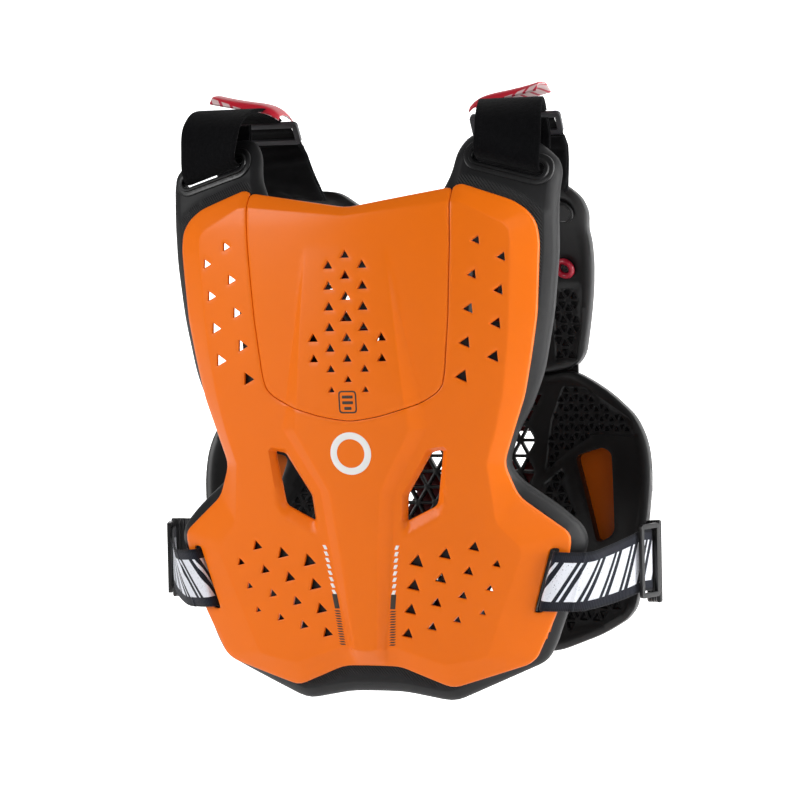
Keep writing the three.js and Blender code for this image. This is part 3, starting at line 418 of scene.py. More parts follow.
class Finish:
    """One material of the object."""

    def __init__(self, name, **constants):
        self.material = bpy.data.materials.new(name)
        self.material.use_nodes = True
        self.tree = self.material.node_tree
        self.shader = self.tree.nodes["Principled BSDF"]
        for socket, value in constants.items():
            self.shader.inputs[socket.replace("_", " ")].default_value = value

    def add(self, kind, settings=None, values=None, out=0):
        node = self.tree.nodes.new("ShaderNode" + kind)
        for key, value in (settings or {}).items():
            setattr(node, key, value)
        for key, value in (values or {}).items():
            self.feed(node.inputs[key], value)
        return Wire(self, node.outputs[out])

    def feed(self, socket, value):
        if isinstance(value, Wire):
            self.tree.links.new(value.socket, socket)
        else:
            socket.default_value = value

    def place(self):
        return self.add("TexCoord", out=3)

    def axes(self, vector):
        return [self.add("SeparateXYZ", values={0: vector}, out=axis) for axis in range(3)]

    def noise(self, vector, scale, detail=3.0):
        return self.add("TexNoise", values={"Vector": vector, "Scale": scale, "Detail": detail})

    def mix(self, share, first, second):
        return self.add("Mix", {"data_type": "RGBA"}, {0: share, 6: first, 7: second}, out=2)

    def attribute(self, name):
        return self.add("Attribute", {"attribute_name": name}, out=2)

    def bump(self, height, distance, strength=1.0):
        normal = self.add("Bump", values={"Height": height, "Distance": distance, "Strength": strength})
        self.feed(self.shader.inputs["Normal"], normal)

    def colour(self, value):
        self.feed(self.shader.inputs["Base Color"], value)

    def roughness(self, value):
        self.feed(self.shader.inputs["Roughness"], value)


# %% [markdown]
# ## Moulded plastics and foam
# The orange shell is injection moulded: satin, with a very fine grain and faint scuffs that only
# change its gloss. The foam is matt, with fine slanting ribs pressed into its face but not into its
# smooth rounded border, so a vertex attribute says where the ribs are.

# %% Plastics
def moulded(name, shade, second, rough, grain, **constants):
    """A moulded plastic: two close colours, faint scuffs in the gloss and a fine grain."""
    finish = Finish(name, **constants)
    place = finish.place()
    finish.colour(finish.mix(finish.noise(place, 14, 2), (*shade, 1), (*second, 1)))
    stretched = finish.add("Mapping", values={"Vector": place, "Scale": (1, 1, 0.25)})
    finish.roughness(rough + 0.1 * (finish.noise(stretched, 60, 5) - 0.5))
    finish.bump(finish.noise(place, 1600, 2), grain, 0.5)
    return finish.material


SHELL = moulded("shell_orange", (.86, .168, .0025), (.82, .155, .0025), .32, 3e-5, Specular_IOR_Level=.26)
BLACK = moulded("moulded_black", (.004, .004, .0045), (.006, .006, .0065), .36, 4e-5)
BACK_BLACK = moulded("back_black", (.0045, .0045, .005), (.0065, .0065, .007), .38, 5e-5)
GREY = moulded("moulded_grey", (.035, .035, .04), (.045, .045, .05), .42, 4e-5)
GROMMET_RED = moulded("grommet_red", (.42, .008, .03), (.36, .006, .025), .35, 3e-5)
MARK_WHITE = moulded("mark_white", (.85, .85, .84), (.8, .8, .79), .45, 1e-5)
MARK_DARK = moulded("mark_dark", (.03, .02, .012), (.035, .025, .015), .45, 1e-5)

# %% Back shells
def back_plastic():
    """The same orange, with painted shade: dark red in the middle, in the shadow behind the open lattice."""
    finish = Finish("back_shell_plastic", Roughness=.45)
    place = finish.place()
    # Painted shade: the middle of the inner face, which lies in shadow behind the open lattice, is coloured
    # dark red instead of orange.
    painted_shade_middle = abs(finish.axes(place)[0]) < .112
    red = finish.mix(finish.noise(place, 30, 2), (.16, .002, .003, 1), (.24, .004, .005, 1))
    orange = finish.mix(finish.noise(place, 14, 2), (.8, .15, .004, 1), (.72, .13, .004, 1))
    finish.colour(finish.mix(painted_shade_middle, orange, red))
    finish.bump(finish.noise(place, 1400, 2), 4e-5, .5)
    return finish.material


BACK_SHELL = back_plastic()

# %% Foam
def moulded_foam():
    finish = Finish("liner_foam", Specular_IOR_Level=0.32)
    place = finish.place()
    x, _, z = finish.axes(place)
    ribbed = finish.attribute("ribbed")
    ribs = (x * 0.8 + z * 0.6).wave(0.0019) * ribbed
    worn = finish.noise(place, 25, 4)
    finish.colour(finish.mix(worn, (.0045, .0045, .005, 1), (.0075, .0075, .0085, 1)))
    finish.roughness(0.5 + 0.12 * ribbed + 0.1 * (worn - 0.5))
    finish.bump(ribs + 0.35 * finish.noise(place, 2200, 2), 2.6e-4, 0.9)
    return finish.material


FOAM = moulded_foam()
print("plastics:", [material.name for material in (SHELL, BLACK, GREY, FOAM)])

# %% [markdown]
# ## The holes
# The shell's ventilation is four fields of small triangles, all cut right through. Each field is a
# lattice: a first hole, a step along the row and a step to the next row. The holes shrink towards the
# edges of their field.

# %% Hole patterns
def triangle_hole(centre, size, turn_degrees, soft=0.5):
    angles = np.radians(np.array([90, 210, 330]) + turn_degrees)
    corners = np.array(centre) + size * np.column_stack([np.cos(angles), np.sin(angles)])
    return softened(corners, soft)


HOLE_FIELDS = [
    {"first": (.657, .747), "row": (-.1345, .0142), "next": (-.0394, .0486), "size": 3.7, "grow": .75,
     "fade": .45, "narrow": .04, "turn": 13, "rows": [(1, 3, -1), (0, 3, 0), (0, 3, 1), (0, 3, 2)]},
    {"first": (.635, .111), "row": (0, 0), "next": (-.0225, .066), "size": 4, "grow": 0, "fade": -.45,
     "narrow": 0, "turn": 26, "rows": [(0, 0, row) for row in range(5)]},
    {"first": (.75, .144), "row": (0, 0), "next": (-.018, .0645), "size": 4.3, "grow": 0, "fade": -.4,
     "narrow": 0, "turn": 26, "rows": [(0, 0, row) for row in range(4)]},
]


def field_holes():
    holes = []
    for field in HOLE_FIELDS:
        for first, last, row in field["rows"]:
            for column in range(first, last + 1):
                along = np.array(field["row"]) * (1 - field["narrow"] * row, 1)
                share = np.array(field["first"]) + column * along + row * np.array(field["next"])
                size = field["size"] + column * field["grow"] - row * field["fade"]
                holes.append(triangle_hole(on_panel([share])[0], size, -field["turn"]))
    return holes + [mirrored_loop(hole) for hole in holes]


def plate_holes():
    holes = []
    for column, first, count in ((0, 0, 7), (1, .5, 7), (-1, .5, 7), (2, 4, 2), (-2, 4, 2)):
        for row in range(count):
            down = .134 + (first + row) * .0407
            away = abs(down - .134 - 3 * .0407) / (3.5 * .0407)
            size = 4.6 * (1 - (.35 if down > .256 else .12) * away ** 2)
            if column == 0 and row == 3:
                size = 5.6
            holes.append(triangle_hole(on_panel([(column * .086, down)])[0], size, 0))
    return holes


def side_slot(width, length):
    """The slot that the side strap comes out of, leaning with the strap."""
    lean, half_drop = .297, length / 2 / math.hypot(1, .297)
    x, z = on_panel([SIDE_SLOT_PLACE])[0]
    corners = [(x + out * width / 2 + up * half_drop * lean, z + up * half_drop)
               for out, up in ((-1, 1), (-1, -1), (1, -1), (1, 1))]
    return softened(np.array(corners), 2.5)


FIELD_HOLES, PLATE_HOLES = field_holes(), plate_holes()
print("holes:", len(FIELD_HOLES), "in the shell,", len(PLATE_HOLES), "in the plate")

# %% [markdown]
# ## Chest shell and plate
# The shell's creases are edges of its mesh, with a line on each side of them, so that a crease stays
# narrow and even. The plate is a panel of its own that ends at a fine seam.

# %% Shell
SHELL_WALL, SHELL_SPACING, CREASE_SOFTNESS, CORNER_REACH = 3, 3.2, .5, 7


def side_lines(line, offsets=(0, 1.2, -1.2)):
    """A crease of one side and its mirror image, each with close lines beside it."""
    along = np.gradient(line, axis=0)
    normal = np.column_stack([-along[:, 1], along[:, 0]]) / np.hypot(*along.T)[:, None]
    lines = [line + offset * normal for offset in offsets]
    return [(copy, False) for one in lines for copy in (one, mirrored_loop(one))]


spine_upper = on_panel(list(zip(SPINE_UPPER, SPINE_DOWN)))
spine_foot = on_panel(list(zip(SPINE_FOOT, SPINE_DOWN)))
outer_side = np.vstack([SEAM_SIDE[:-1][::-1], SHELL_EDGE_SIDE[2:-1]])
shell_outline = np.vstack([SEAM_SIDE[-1:], outer_side, SHELL_EDGE_SIDE[-1:], mirrored_loop(outer_side)])
shell_slot = side_slot(7, 54)
shell_holes = FIELD_HOLES + [shell_slot, mirrored_loop(shell_slot)]
shell_holes += [softened(VENT_OPENING, 2.5), softened(mirrored_loop(VENT_OPENING), 2.5)]
shell_creases = side_lines(SHELL_CREASE_SIDE[1:]) + side_lines(spine_upper[3:]) + side_lines(spine_foot[3:])
shell_creases += side_lines(np.vstack([VENT_RIM, VENT_RIM[:1]]), (0,))
for corner, end in zip(SHELL_CREASE_SIDE[1:-1], SHELL_EDGE_SIDE[1:-1]):
    shell_creases += side_lines(np.array([corner + (end - corner) * .1, end - (end - corner) * .2]), (0,))
chest_shell = pressed_panel("chest_shell", softened(shell_outline, CORNER_REACH), shell_holes, shell_creases,
                            SHELL_SPACING, SHELL_WALL, (1.1, .9), eased(shell_front, CREASE_SOFTNESS))
placed_on_frame(chest_shell, SHELL, "shell_orange", "front_shell")

# %% Plate
SEAM_GAP = .35
plate_loop = np.vstack([both_halves(SEAM_SIDE), SHELL_EDGE_SIDE[:1]])
plate_outline = moved_in(softened(plate_loop, CORNER_REACH), SEAM_GAP)
plate_creases = side_lines(spine_upper[:4]) + side_lines(spine_foot[1:4])
plate_creases += side_lines(SHELL_CREASE_SIDE[:2] * np.array([.97, 1]))
upper_plate = pressed_panel("upper_plate", plate_outline, PLATE_HOLES, plate_creases, SHELL_SPACING,
                            SHELL_WALL, (.9, .9), eased(shell_front, CREASE_SOFTNESS))
placed_on_frame(upper_plate, SHELL, "shell_orange", "chest_plate")

# %% [markdown]
# ## Foam liner
# The liner stands out all round the shell as a thick dark border and goes up into a tab at each
# shoulder. Its border is bevelled and smooth, and the rest of its face is finely ribbed.

# %% Liner
STRAP_SLOT = on_panel([TAB_SLOT_PLACE])[0]


def stadium(centre, half_length, radius, tilt_degrees, steps=8):
    angles = np.radians(np.linspace(-90, 90, steps + 1))
    arc = np.column_stack([np.cos(angles) * radius + half_length - radius, np.sin(angles) * radius])
    loop = np.vstack([arc, -arc])
    cos, sin = math.cos(math.radians(tilt_degrees)), math.sin(math.radians(tilt_degrees))
    return np.array(centre) + loop @ np.array([[cos, sin], [-sin, cos]])


def liner_window(across, down, width, height, lean):
    rows = [(across + out * width / 2 + low * height / 2 * lean, down + low * height / 2)
            for out, low in ((-1, -1), (-1, 1), (1, 1), (1, -1))]
    return softened(on_panel(rows), 8)


liner_outline = softened(both_halves(LINER_SIDE), 9)
side_windows = [liner_window(.69, .24, .215, .3, -.11), liner_window(.6, .835, .08, .17, -.15),
                liner_window(.465, .845, .08, .2, -.15), liner_window(.33, .855, .08, .2, -.15),
                softened(moved_in(VENT_RIM, -2), 3), side_slot(10, 56), stadium(STRAP_SLOT, 29, 5.5, -16)]
liner_windows = side_windows + [mirrored_loop(window) for window in side_windows]
liner_windows.append(softened(on_panel([(-.145, .1), (-.145, .42), (.145, .42), (.145, .1)]), 10))
BEVEL, TAB_STEP = 9, 8
LINER_SEAT, LINER_BACK = 4.4, 14.4


def liner_front(points):
    bevel = 6.5 * np.clip(1 - depth_inside(points, liner_outline) / BEVEL, 0, 1)
    step = .9 * np.clip((distance_to(points, SHELL_EDGE) - TAB_STEP) / 1.2, 0, 1) * (points[:, 1] > -110)
    return chest_base(points) + LINER_SEAT + np.maximum(bevel, step)


def liner_back(points):
    rim = 5 * border_share(points)
    return chest_base(points) + LINER_BACK + rim * np.clip((PANEL_TOP - points[:, 1]) / 50, 0, 1)


bevel_line = moved_in(liner_outline, BEVEL)
liner_creases = side_lines(SHELL_CREASE_SIDE[1:], (0,)) + side_lines(SHELL_EDGE_SIDE[1:11], (0,))
liner_creases += side_lines(SHELL_EDGE_SIDE[11:], (0,)) + [(moved_in(liner_outline, BEVEL - 1), True)]
liner_creases += side_lines(SHELL_EDGE_SIDE[2:8], (TAB_STEP, TAB_STEP + 1.2))
foam_liner = pressed_panel("foam_liner", liner_outline, liner_windows, liner_creases + [(bevel_line, True)],
                           4, 10, (3, .8), eased(liner_front, .8), liner_back)
inner = np.array([vertex.co[:] for vertex in foam_liner.data.vertices])[:, [0, 2]] / MM
ribbed = foam_liner.data.attributes.new("ribbed", "FLOAT", "POINT")
ribs_here = (distance_to(inner, liner_outline) > BEVEL + .5) & (distance_to(inner, SHELL_EDGE) < TAB_STEP)
ribbed.data.foreach_set("value", ribs_here.astype(np.float32))
placed_on_frame(foam_liner, FOAM, "liner_black", "front_liner")

# %% [markdown]
# ## Slot bezels
# Each strap slot has an oval moulding round it, with a flat flange and a raised lip beside the slot.
# It is cut and pressed like the panels, so it follows the tab. Its form is the tab's form with a step.

# %% Bezels
SLOT_HALF, SLOT_RADIUS, SLOT_TILT = 29, 5.5, -16
FLANGE_SINK, FLANGE, LIP = .9, 1.7, 1.6
SLOT_LOOP = stadium(STRAP_SLOT, SLOT_HALF, SLOT_RADIUS, SLOT_TILT, 12)


def bezel_front(points):
    lip = np.clip((3.4 - distance_to(points, SLOT_LOOP)) / .8, 0, 1)
    return chest_base(points) + LINER_SEAT + FLANGE_SINK - FLANGE - LIP * lip


def mirrored_piece(piece, name):
    """A copy of a piece for the wearer's right side, with its own mesh."""
    copy = piece.copy()
    copy.data = piece.data.copy()
    copy.name = name
    bpy.context.collection.objects.link(copy)
    copy.data.transform(Matrix.Scale(-1, 4, (1, 0, 0)))
    copy.data.flip_normals()
    return copy


def around_slot(step):
    return stadium(STRAP_SLOT, SLOT_HALF + step, SLOT_RADIUS + step, SLOT_TILT, 12)


bezel_lines = [(around_slot(step), True) for step in (2.6, 3.4)]
bezel = pressed_panel("bezel_left", around_slot(7), [SLOT_LOOP], bezel_lines, 1.6, 2.2, (1, 1.2), bezel_front)
placed_on_frame(mirrored_piece(bezel, "bezel_right"), BLACK, "moulded_black", "slot_bezel_right")
placed_on_frame(bezel, BLACK, "moulded_black", "slot_bezel_left")

# %% [markdown]
# ## The back, inner parts
# The inner parts of the back are black mouldings: an open lattice of struts in the middle, and wings
# whose faces carry fields of small triangular pits. The pits are pressed into the same sheet, and the
# lattice is cut through it.

# %% Lattices and pits
def lattice(region, pitch, strut, whole=True):
    """Triangles between the struts of a lattice: those wholly, or mostly, inside the region."""
    rise, size = pitch * math.sqrt(3) / 2, pitch / math.sqrt(3)
    middle, reach = region.mean(0), np.ptp(region, 0).max()
    loops = []
    for row in range(int(-reach / rise) - 1, int(reach / rise) + 2):
        for step in range(int(-2 * reach / pitch), int(2 * reach / pitch) + 1):
            up = (step + row) % 2 == 0
            centre = middle + np.array([step * pitch / 2, -(row + (2 if up else 1) / 3) * rise])
            probe = triangle_hole(centre, size - .8 if whole else .7 * size - strut, 0 if up else 180, .1)
            if is_inside(probe, region).all():
                loops.append(triangle_hole(centre, size - strut, 0 if up else 180, .8))
    return loops


def pit_fall(points, pits, depth, bevel):
    fall = np.zeros(len(points))
    for pit in pits:
        low, high = pit.min(0), pit.max(0)
        near = np.flatnonzero(((points > low) & (points < high)).all(1))
        if len(near):
            sunk = depth * np.clip(depth_inside(points[near], pit) / bevel, 0, 1)
            fall[near] = np.maximum(fall[near], sunk)
    return fall


BACK_WALL, LATTICE_WALL = 14, 5
RECESS, RECESS_SLOPE, ROLL_FALL, ROLL_WIDTH = 1.6, 1.5, 3, 7
PIT_STRUT, PIT_DEPTH, PIT_BEVEL = 1.7, 2.2, 1.2


def back_part(name, outline, holes, regions, thin, spacing):
    """An inner part of the back: its outline, its through holes, its pitted regions and its thin zone."""
    pits = [pit for region, pitch in regions for pit in lattice(region, pitch, PIT_STRUT, False)]
    recessed = [region for region, _ in regions]
    rim = softened(outline, 10)

    def front(points):
        fall = sum(RECESS * np.clip(depth_inside(points, region) / RECESS_SLOPE, 0, 1) for region in recessed)
        rolled = ROLL_FALL * np.clip(1 - depth_inside(points, rim) / ROLL_WIDTH, 0, 1)
        return back_inner(points) + fall + pit_fall(points, pits, PIT_DEPTH, PIT_BEVEL) + rolled

    def back(points):
        thinned = LATTICE_WALL + (BACK_WALL - LATTICE_WALL) * np.clip(1 - distance_to(points, thin) / 6, 0, 1)
        return back_inner(points) + np.where(is_inside(points, thin), thinned, BACK_WALL)

    creases = [(pit, True) for pit in pits] + [(moved_in(pit, PIT_BEVEL), True) for pit in pits]
    creases += [(line, True) for region in recessed for line in (region, moved_in(region, RECESS_SLOPE))]
    creases += [(thin, True), (moved_in(rim, ROLL_WIDTH), True)]
    return pressed_panel(name, rim, holes, creases, spacing, BACK_WALL, (2.5, .7), front, back)


# %% Upper inner back
upper_side = on_back([
    (0, .07), (.2, .045), (.29, .005), (.34, 0), (.7, 0), (.736, .01), (.778, .03), (.794, .06), (.776, .093),
    (.78, .12), (.774, .161), (.754, .226), (.726, .294), (.7, .354), (.672, .375), (.63, .388), (.5, .4),
    (0, .408)])
UPPER_BACK = both_halves(upper_side)
upper_thin = np.array([(98, -106), (-98, -106), (-92, -206), (92, -206)], float)
upper_field = np.array([(114, -142), (142, -142), (139, -176), (132, -206), (112, -206)], float)
upper_back = back_part("upper_back", UPPER_BACK, lattice(upper_thin, 20, 3.6), [
    (softened(upper_field, 3), 11.5), (softened(mirrored_loop(upper_field), 3), 11.5)], upper_thin, 4)
placed_on_frame(upper_back, BACK_BLACK, "liner_black", "back_upper_liner")

# %% Lower inner back
lower_side = on_back([
    (0, .4095), (.5, .4015), (.63, .3895), (.73, .414), (.82, .442), (.925, .487), (.966, .522), (.99, .56),
    (1, .612), (.995, .663), (.955, .867), (.945, .887), (.91, .91), (.805, .942), (.603, .982), (0, 1)])
LOWER_BACK = both_halves(lower_side)
lower_thin = np.array([(102, -226), (-102, -226), (-86, -428), (86, -428)], float)
wing_field = np.array([(118, -227), (140, -228), (181, -254), (186, -270), (147, -268), (100, -300),
                       (106, -257)], float)
wing_island = np.array([(99, -310), (117, -296), (130, -337), (126, -352), (108, -342)], float)
wing_low = np.array([(126, -398), (180, -392), (176, -416), (158, -426), (126, -432)], float)
wing_window = np.array([(129, -286), (155, -278.5), (163, -283), (167, -350.5), (151, -359)], float)
wing_window = softened(wing_window, 6)
wing_fields = [(softened(wing_field, 3), 9.5), (softened(wing_island, 2), 11), (softened(wing_low, 3), 12)]
mirrored_fields = [(mirrored_loop(region), pitch) for region, pitch in wing_fields]
lower_back = back_part("lower_back", LOWER_BACK, lattice(lower_thin, 15.5, 2.7) + [
    wing_window, mirrored_loop(wing_window)], wing_fields + mirrored_fields, lower_thin, 4)
placed_on_frame(lower_back, BACK_BLACK, "liner_black", "back_lower_liner")

# %% [markdown]
# ## The back, outer shells
# Behind each inner part lies a hard orange shell with triangular vents. Only its inner face shows in
# the photograph: orange through the wing windows, and dark red through the lattice, where the shadow
# on it is painted into its colour.

# %% Outer shells
def outer_front(points):
    return back_inner(points) + 15.4


def outer_shell(name, outline, vents):
    holes = []
    for across, down, size in vents:
        hole = triangle_hole(on_back([(across, down)])[0], size, 180, 3)
        holes += [hole, mirrored_loop(hole)] if across else [hole]
    ridge = softened(moved_in(outline, 18), 8)

    def front(points):
        return outer_front(points) + .8 * np.clip(depth_inside(points, ridge) / 6, 0, 1) - .8

    def back(points):
        return front(points) + 3

    return pressed_panel(name, softened(moved_in(outline, 6), 10), holes, [(ridge, True)], 5, 3, (1, .8),
                         outer_front, back)


upper_outer = outer_shell("upper_outer_shell", UPPER_BACK, [
    (0, .24, 20), (.19, .25, 20), (.32, .33, 15), (.4, .22, 18)])
lower_outer_side = np.vstack([on_back([(0, .408), (.5, .4), (.63, .388)]), lower_side[3:]])
lower_outer = outer_shell("lower_outer_shell", both_halves(lower_outer_side), [
    (0, .56, 24), (.2, .51, 16), (.37, .555, 25), (.2, .68, 22), (.42, .68, 18), (0, .8, 20), (.25, .84, 16),
    (.5, .86, 14)])

# %% [markdown]
# A flexible black strip closes the joint between the two halves of the back, so no light shows there.

# %% Joint strip
joint_side = on_back([(0, .43), (.5, .42), (.66, .412), (.66, .37), (.5, .38), (0, .388)])
joint_loop = np.vstack([joint_side, mirrored_loop(joint_side[1:-1])])
joint_strip = pressed_panel("back_joint_strip", joint_loop, [], [], 6, 3, (.8, .8),
                            lambda points: back_inner(points) + 8)
placed_on_frame(joint_strip, BACK_BLACK, "liner_black")
placed_on_frame(upper_outer, BACK_SHELL, "shell_orange", "back_upper_shell")
placed_on_frame(lower_outer, BACK_SHELL, "shell_orange", "back_lower_shell")

# %% [markdown]
# ## Webbing
# A strap is a long flat band whose width turns as it goes. The path is the CAD's: a smooth curve
# through its rows, with the turn blended from row to row. The band gets rounded selvedges and a UV
# map in metres, so that weave, stitches and print keep their real size along it.

# %% Bands
def along_path(rows, share):
    """The place on a smooth curve through the rows, at a share of its rows."""
    points = [np.array(row[:3], float) for row in rows]
    at = min(int(share * (len(points) - 1)), len(points) - 2)
    part = share * (len(points) - 1) - at
    p1, p2 = points[at], points[at + 1]
    p0 = points[at - 1] if at else 2 * p1 - p2
    p3 = points[at + 2] if at + 2 < len(points) else 2 * p2 - p1
    t0, t1, t2 = (max(math.dist(a, b), 1e-4) ** .5 for a, b in ((p0, p1), (p1, p2), (p2, p3)))
    v1 = t1 * ((p1 - p0) / t0 - (p2 - p0) / (t0 + t1) + (p2 - p1) / t1)
    v2 = t1 * ((p2 - p1) / t1 - (p3 - p1) / (t1 + t2) + (p3 - p2) / t2)
    place = p1 + v1 * part + (3 * p2 - 3 * p1 - 2 * v1 - v2) * part ** 2
    place = place + (2 * p1 - 2 * p2 + v1 + v2) * part ** 3
    extras = [(1 - part) * a + part * b for a, b in zip(rows[at][3:], rows[at + 1][3:])]
    return place, extras


def woven_band(name, rows, width, wall, across, steps=90, offset=0.0, start=0.0, end=1.0, shape=None):
    """A strap along a path. across turns a row's extras into the direction of the width."""
    half, columns = width / 2, 16
    bend = wall / 2
    round_end = (math.pi / 4, 0, -math.pi / 4)
    section = [(-half + bend + (width - wall) * k / columns, bend) for k in range(columns + 1)]
    section += [(half - bend + bend * math.cos(a), bend * math.sin(a)) for a in round_end]
    section += [(half - bend - (width - wall) * k / columns, -bend) for k in range(columns + 1)]
    section += [(-half + bend - bend * math.cos(a), bend * math.sin(a)) for a in round_end[::-1]]
    size, verts, uvs, length, last = len(section), [], [], 0.0, None
    for step in range(steps + 1):
        share = start + (end - start) * step / steps
        place, extras = along_path(rows, share)
        ahead, behind = (along_path(rows, min(max(share + move, 0), 1))[0] for move in (1e-3, -1e-3))
        tangent = Vector(ahead - behind).normalized()
        side = Vector(across(extras)).normalized()
        normal = side.cross(tangent).normalized()
        length += 0 if last is None else math.dist(place, last)
        last = place
        for u, n in section:
            stretch, lift = shape(share, u / half, extras) if shape else (1, 0)
            verts.append((Vector(place) + side * u * stretch + normal * (n + offset + lift)) * MM)
            uvs.append((length * MM, u * MM))
    faces = [(ring * size + k, (ring + 1) * size + k, (ring + 1) * size + after, ring * size + after)
             for ring in range(steps) for k, after in zip(range(size), [*range(1, size), 0])]
    faces += [tuple(range(size)), tuple(steps * size + k for k in reversed(range(size)))]
    mesh = bpy.data.meshes.new(name)
    mesh.from_pydata(verts, [], faces)
    layer = mesh.uv_layers.new(name="UVMap")
    for loop in mesh.loops:
        layer.data[loop.index].uv = uvs[loop.vertex_index]
    strap = bpy.data.objects.new(name, mesh)
    bpy.context.collection.objects.link(strap)
    only(strap)
    bpy.ops.object.mode_set(mode="EDIT")
    bpy.ops.mesh.select_all(action="SELECT")
    bpy.ops.mesh.normals_make_consistent(inside=False)
    bpy.ops.object.mode_set(mode="OBJECT")
    bpy.ops.object.shade_smooth_by_angle(angle=math.radians(50))
    strap["length"] = length * MM
    print(f"{name}: {length:.0f} mm long, {len(mesh.polygons)} faces")
    return strap


# %% [markdown]
# Three fabrics are needed. Hook-and-loop webbing has a fuzzy face that swallows light. The side
# elastic is woven with fine cross ribs, and pale slanting bars are printed on it. The yokes are a soft
# knit. Each pattern reads the UV map or the object's own coordinates, never the camera.

# %% Fabrics
def loop_webbing():
    finish = Finish("loop_webbing", Roughness=1, Sheen_Weight=.04, Sheen_Roughness=.5, Specular_IOR_Level=.06)
    along, across, _ = finish.axes(finish.add("UVMap", {"uv_map": "UVMap"}))
    place = finish.place()
    fuzz = finish.noise(place, 1500, 6)
    clumps = finish.noise(place, 320, 4)
    edge = abs(across) - .0215
    seam = abs(edge) < .0007
    dash = (along * 330).part() < .62
    finish.colour(finish.mix(fuzz * clumps * 1.6, (.0012, .0012, .0015, 1), (.006, .006, .007, 1)))
    finish.bump(fuzz * .8 + clumps * .9 - seam * (1 - dash * .6) * 1.1, 7e-4, .8)
    return finish.material


def printed_elastic():
    finish = Finish("printed_elastic", Sheen_Weight=.15, Specular_IOR_Level=.2)
    along, across, _ = finish.axes(finish.add("UVMap", {"uv_map": "UVMap"}))
    slanted = along + across * .42
    wide = (slanted / .0215 + .18).part() < .52
    narrow = abs((slanted / .0215 + .18).part() - .74) < .055
    field = abs(across) < .0165
    ink = finish.noise(finish.place(), 900, 4) > .33
    printed = (wide + narrow) * field * ink
    ribs = along.wave(.0016)
    threads = across.wave(.0011)
    border = abs(across) > .0225
    cloth = finish.mix(finish.noise(finish.place(), 260, 4), (.006, .007, .013, 1), (.011, .013, .022, 1))
    darker = finish.mix(border, cloth, (.004, .005, .009, 1))
    finish.colour(finish.mix(printed, darker, (.74, .76, .82, 1)))
    finish.roughness(.9 - .25 * printed)
    finish.bump(ribs * .5 + threads * .35 + printed * .2, 1.8e-4, .8)
    return finish.material


def knitted(name, dark, light):
    finish = Finish(name, Roughness=.95, Sheen_Weight=.08, Sheen_Roughness=.45, Specular_IOR_Level=.1)
    place = finish.place()
    x, y, z = finish.axes(place)
    loops = x.wave(.0011) * (z - y).wave(.0016)
    lint = finish.noise(place, 180, 5)
    finish.colour(finish.mix(lint, (*dark, 1), (*light, 1)))
    finish.bump(loops * .6 + lint * .5, 2.2e-4, .7)
    return finish.material


WEBBING, ELASTIC = loop_webbing(), printed_elastic()
KNIT = knitted("yoke_knit", (.0018, .0018, .002), (.0055, .0055, .0065))
BINDING = knitted("yoke_binding", (.006, .006, .007), (.014, .014, .016))

# %% [markdown]
# ## Where the webbing runs
# A run leads from a slot of the chest to the back behind it. A row of a path lies at a share of its
# run and is moved out, back and up from there by shares of the webbing's 50 mm, as in the CAD.

# %% Runs
WEBBING_WIDTH = 50


def on_form(place, form):
    x, z = place
    return np.array([x, form(np.array([[x, z]]))[0], z])


SIDE_RUN = (on_form(on_panel([SIDE_SLOT_PLACE])[0], chest_base),
            on_form(on_back([WING_PLACE])[0], back_inner))
SHOULDER_RUN = (on_form(on_panel([TAB_SLOT_PLACE])[0], chest_base),
                on_form(on_back([BACK_TOP_PLACE])[0], back_inner))


def on_run(run, rows):
    """Rows of (share, out, behind, up, extras) to rows of (x, y, z, extras) in millimetres."""
    return [(*(run[0] + (run[1] - run[0]) * row[0] + WEBBING_WIDTH * np.array(row[1:4])), *row[4:])
            for row in rows]


# %% [markdown]
# ## Shoulder straps
# Each shoulder strap comes up behind the tab, passes through the slot to the front, and folds over
# the top. It is two layers of webbing, closed on each other.

# %% Shoulder straps
SHOULDER_ROWS = on_run(SHOULDER_RUN, [
    (0, .002, .544, .73, 4), (0, .012, .644, .49, 10), (0, .006, .504, .12, 16), (0, .006, .244, -.02, 16),
    (0, .006, .064, -.01, 16), (0, .006, -.046, .09, 16), (0, .012, .014, .41, 10), (0, .002, .124, .73, 4),
    (.1, -.014, .19, 1.002, 0), (.3, -.017, .052, 1.146, 0), (.4, -.053, .178, 1.148, 0),
    (.5, -.06, .184, 1.07, 0)])


def shoulder_across(extras):
    roll = math.radians(extras[0])
    return math.cos(roll), math.sin(roll) * .8, -math.sin(roll)


def both_sides(name, node, slot_name, material, build):
    """Builds the left piece, mirrors it, and sets both on the frame."""
    left = build(f"{name}_left")
    right = mirrored_piece(left, f"{name}_right")
    placed_on_frame(left, material, slot_name, *([f"{node}_left"] if node else []))
    placed_on_frame(right, material, slot_name, *([f"{node}_right"] if node else []))
    return left, right


faces = both_sides("shoulder_strap_face", "shoulder_strap", "strap_black", WEBBING, lambda name: woven_band(
    name, SHOULDER_ROWS, 53, 1.45, shoulder_across, 120, .78))
linings = both_sides("shoulder_strap_lining", None, "strap_black", WEBBING, lambda name: woven_band(
    name, SHOULDER_ROWS, 51.5, 1.45, shoulder_across, 120, -.78))
for pair, width in ((faces, 53), (linings, 51.5)):
    for layer in pair:
        width * MM

# %% [markdown]
# ## Side straps
# The elastic comes out of the shell's slot, folds back round its edge and runs to the buckle. Where
# its two layers are sewn together, a low ridge crosses it.

# %% Side straps
SIDE_ROWS = on_run(SIDE_RUN, [
    (0, -.059, .235, .013, .297, .1), (0, -.019, .095, .003, .297, .1), (0, .041, -.057, -.007, .297, .1),
    (0, .149, -.035, -.017, .297, .1), (.1, .302, -.071, -.045, .297, .1), (.2, .375, -.121, -.052, .24, .08),
    (.3, .468, -.039, -.009, .14, .05), (.5, .495, -.074, .066, .04, .02), (.6, .558, .048, .138, 0, 0),
    (.7, .547, .11, .131, 0, 0)])


def side_across(extras):
    return -extras[0], extras[1], -1


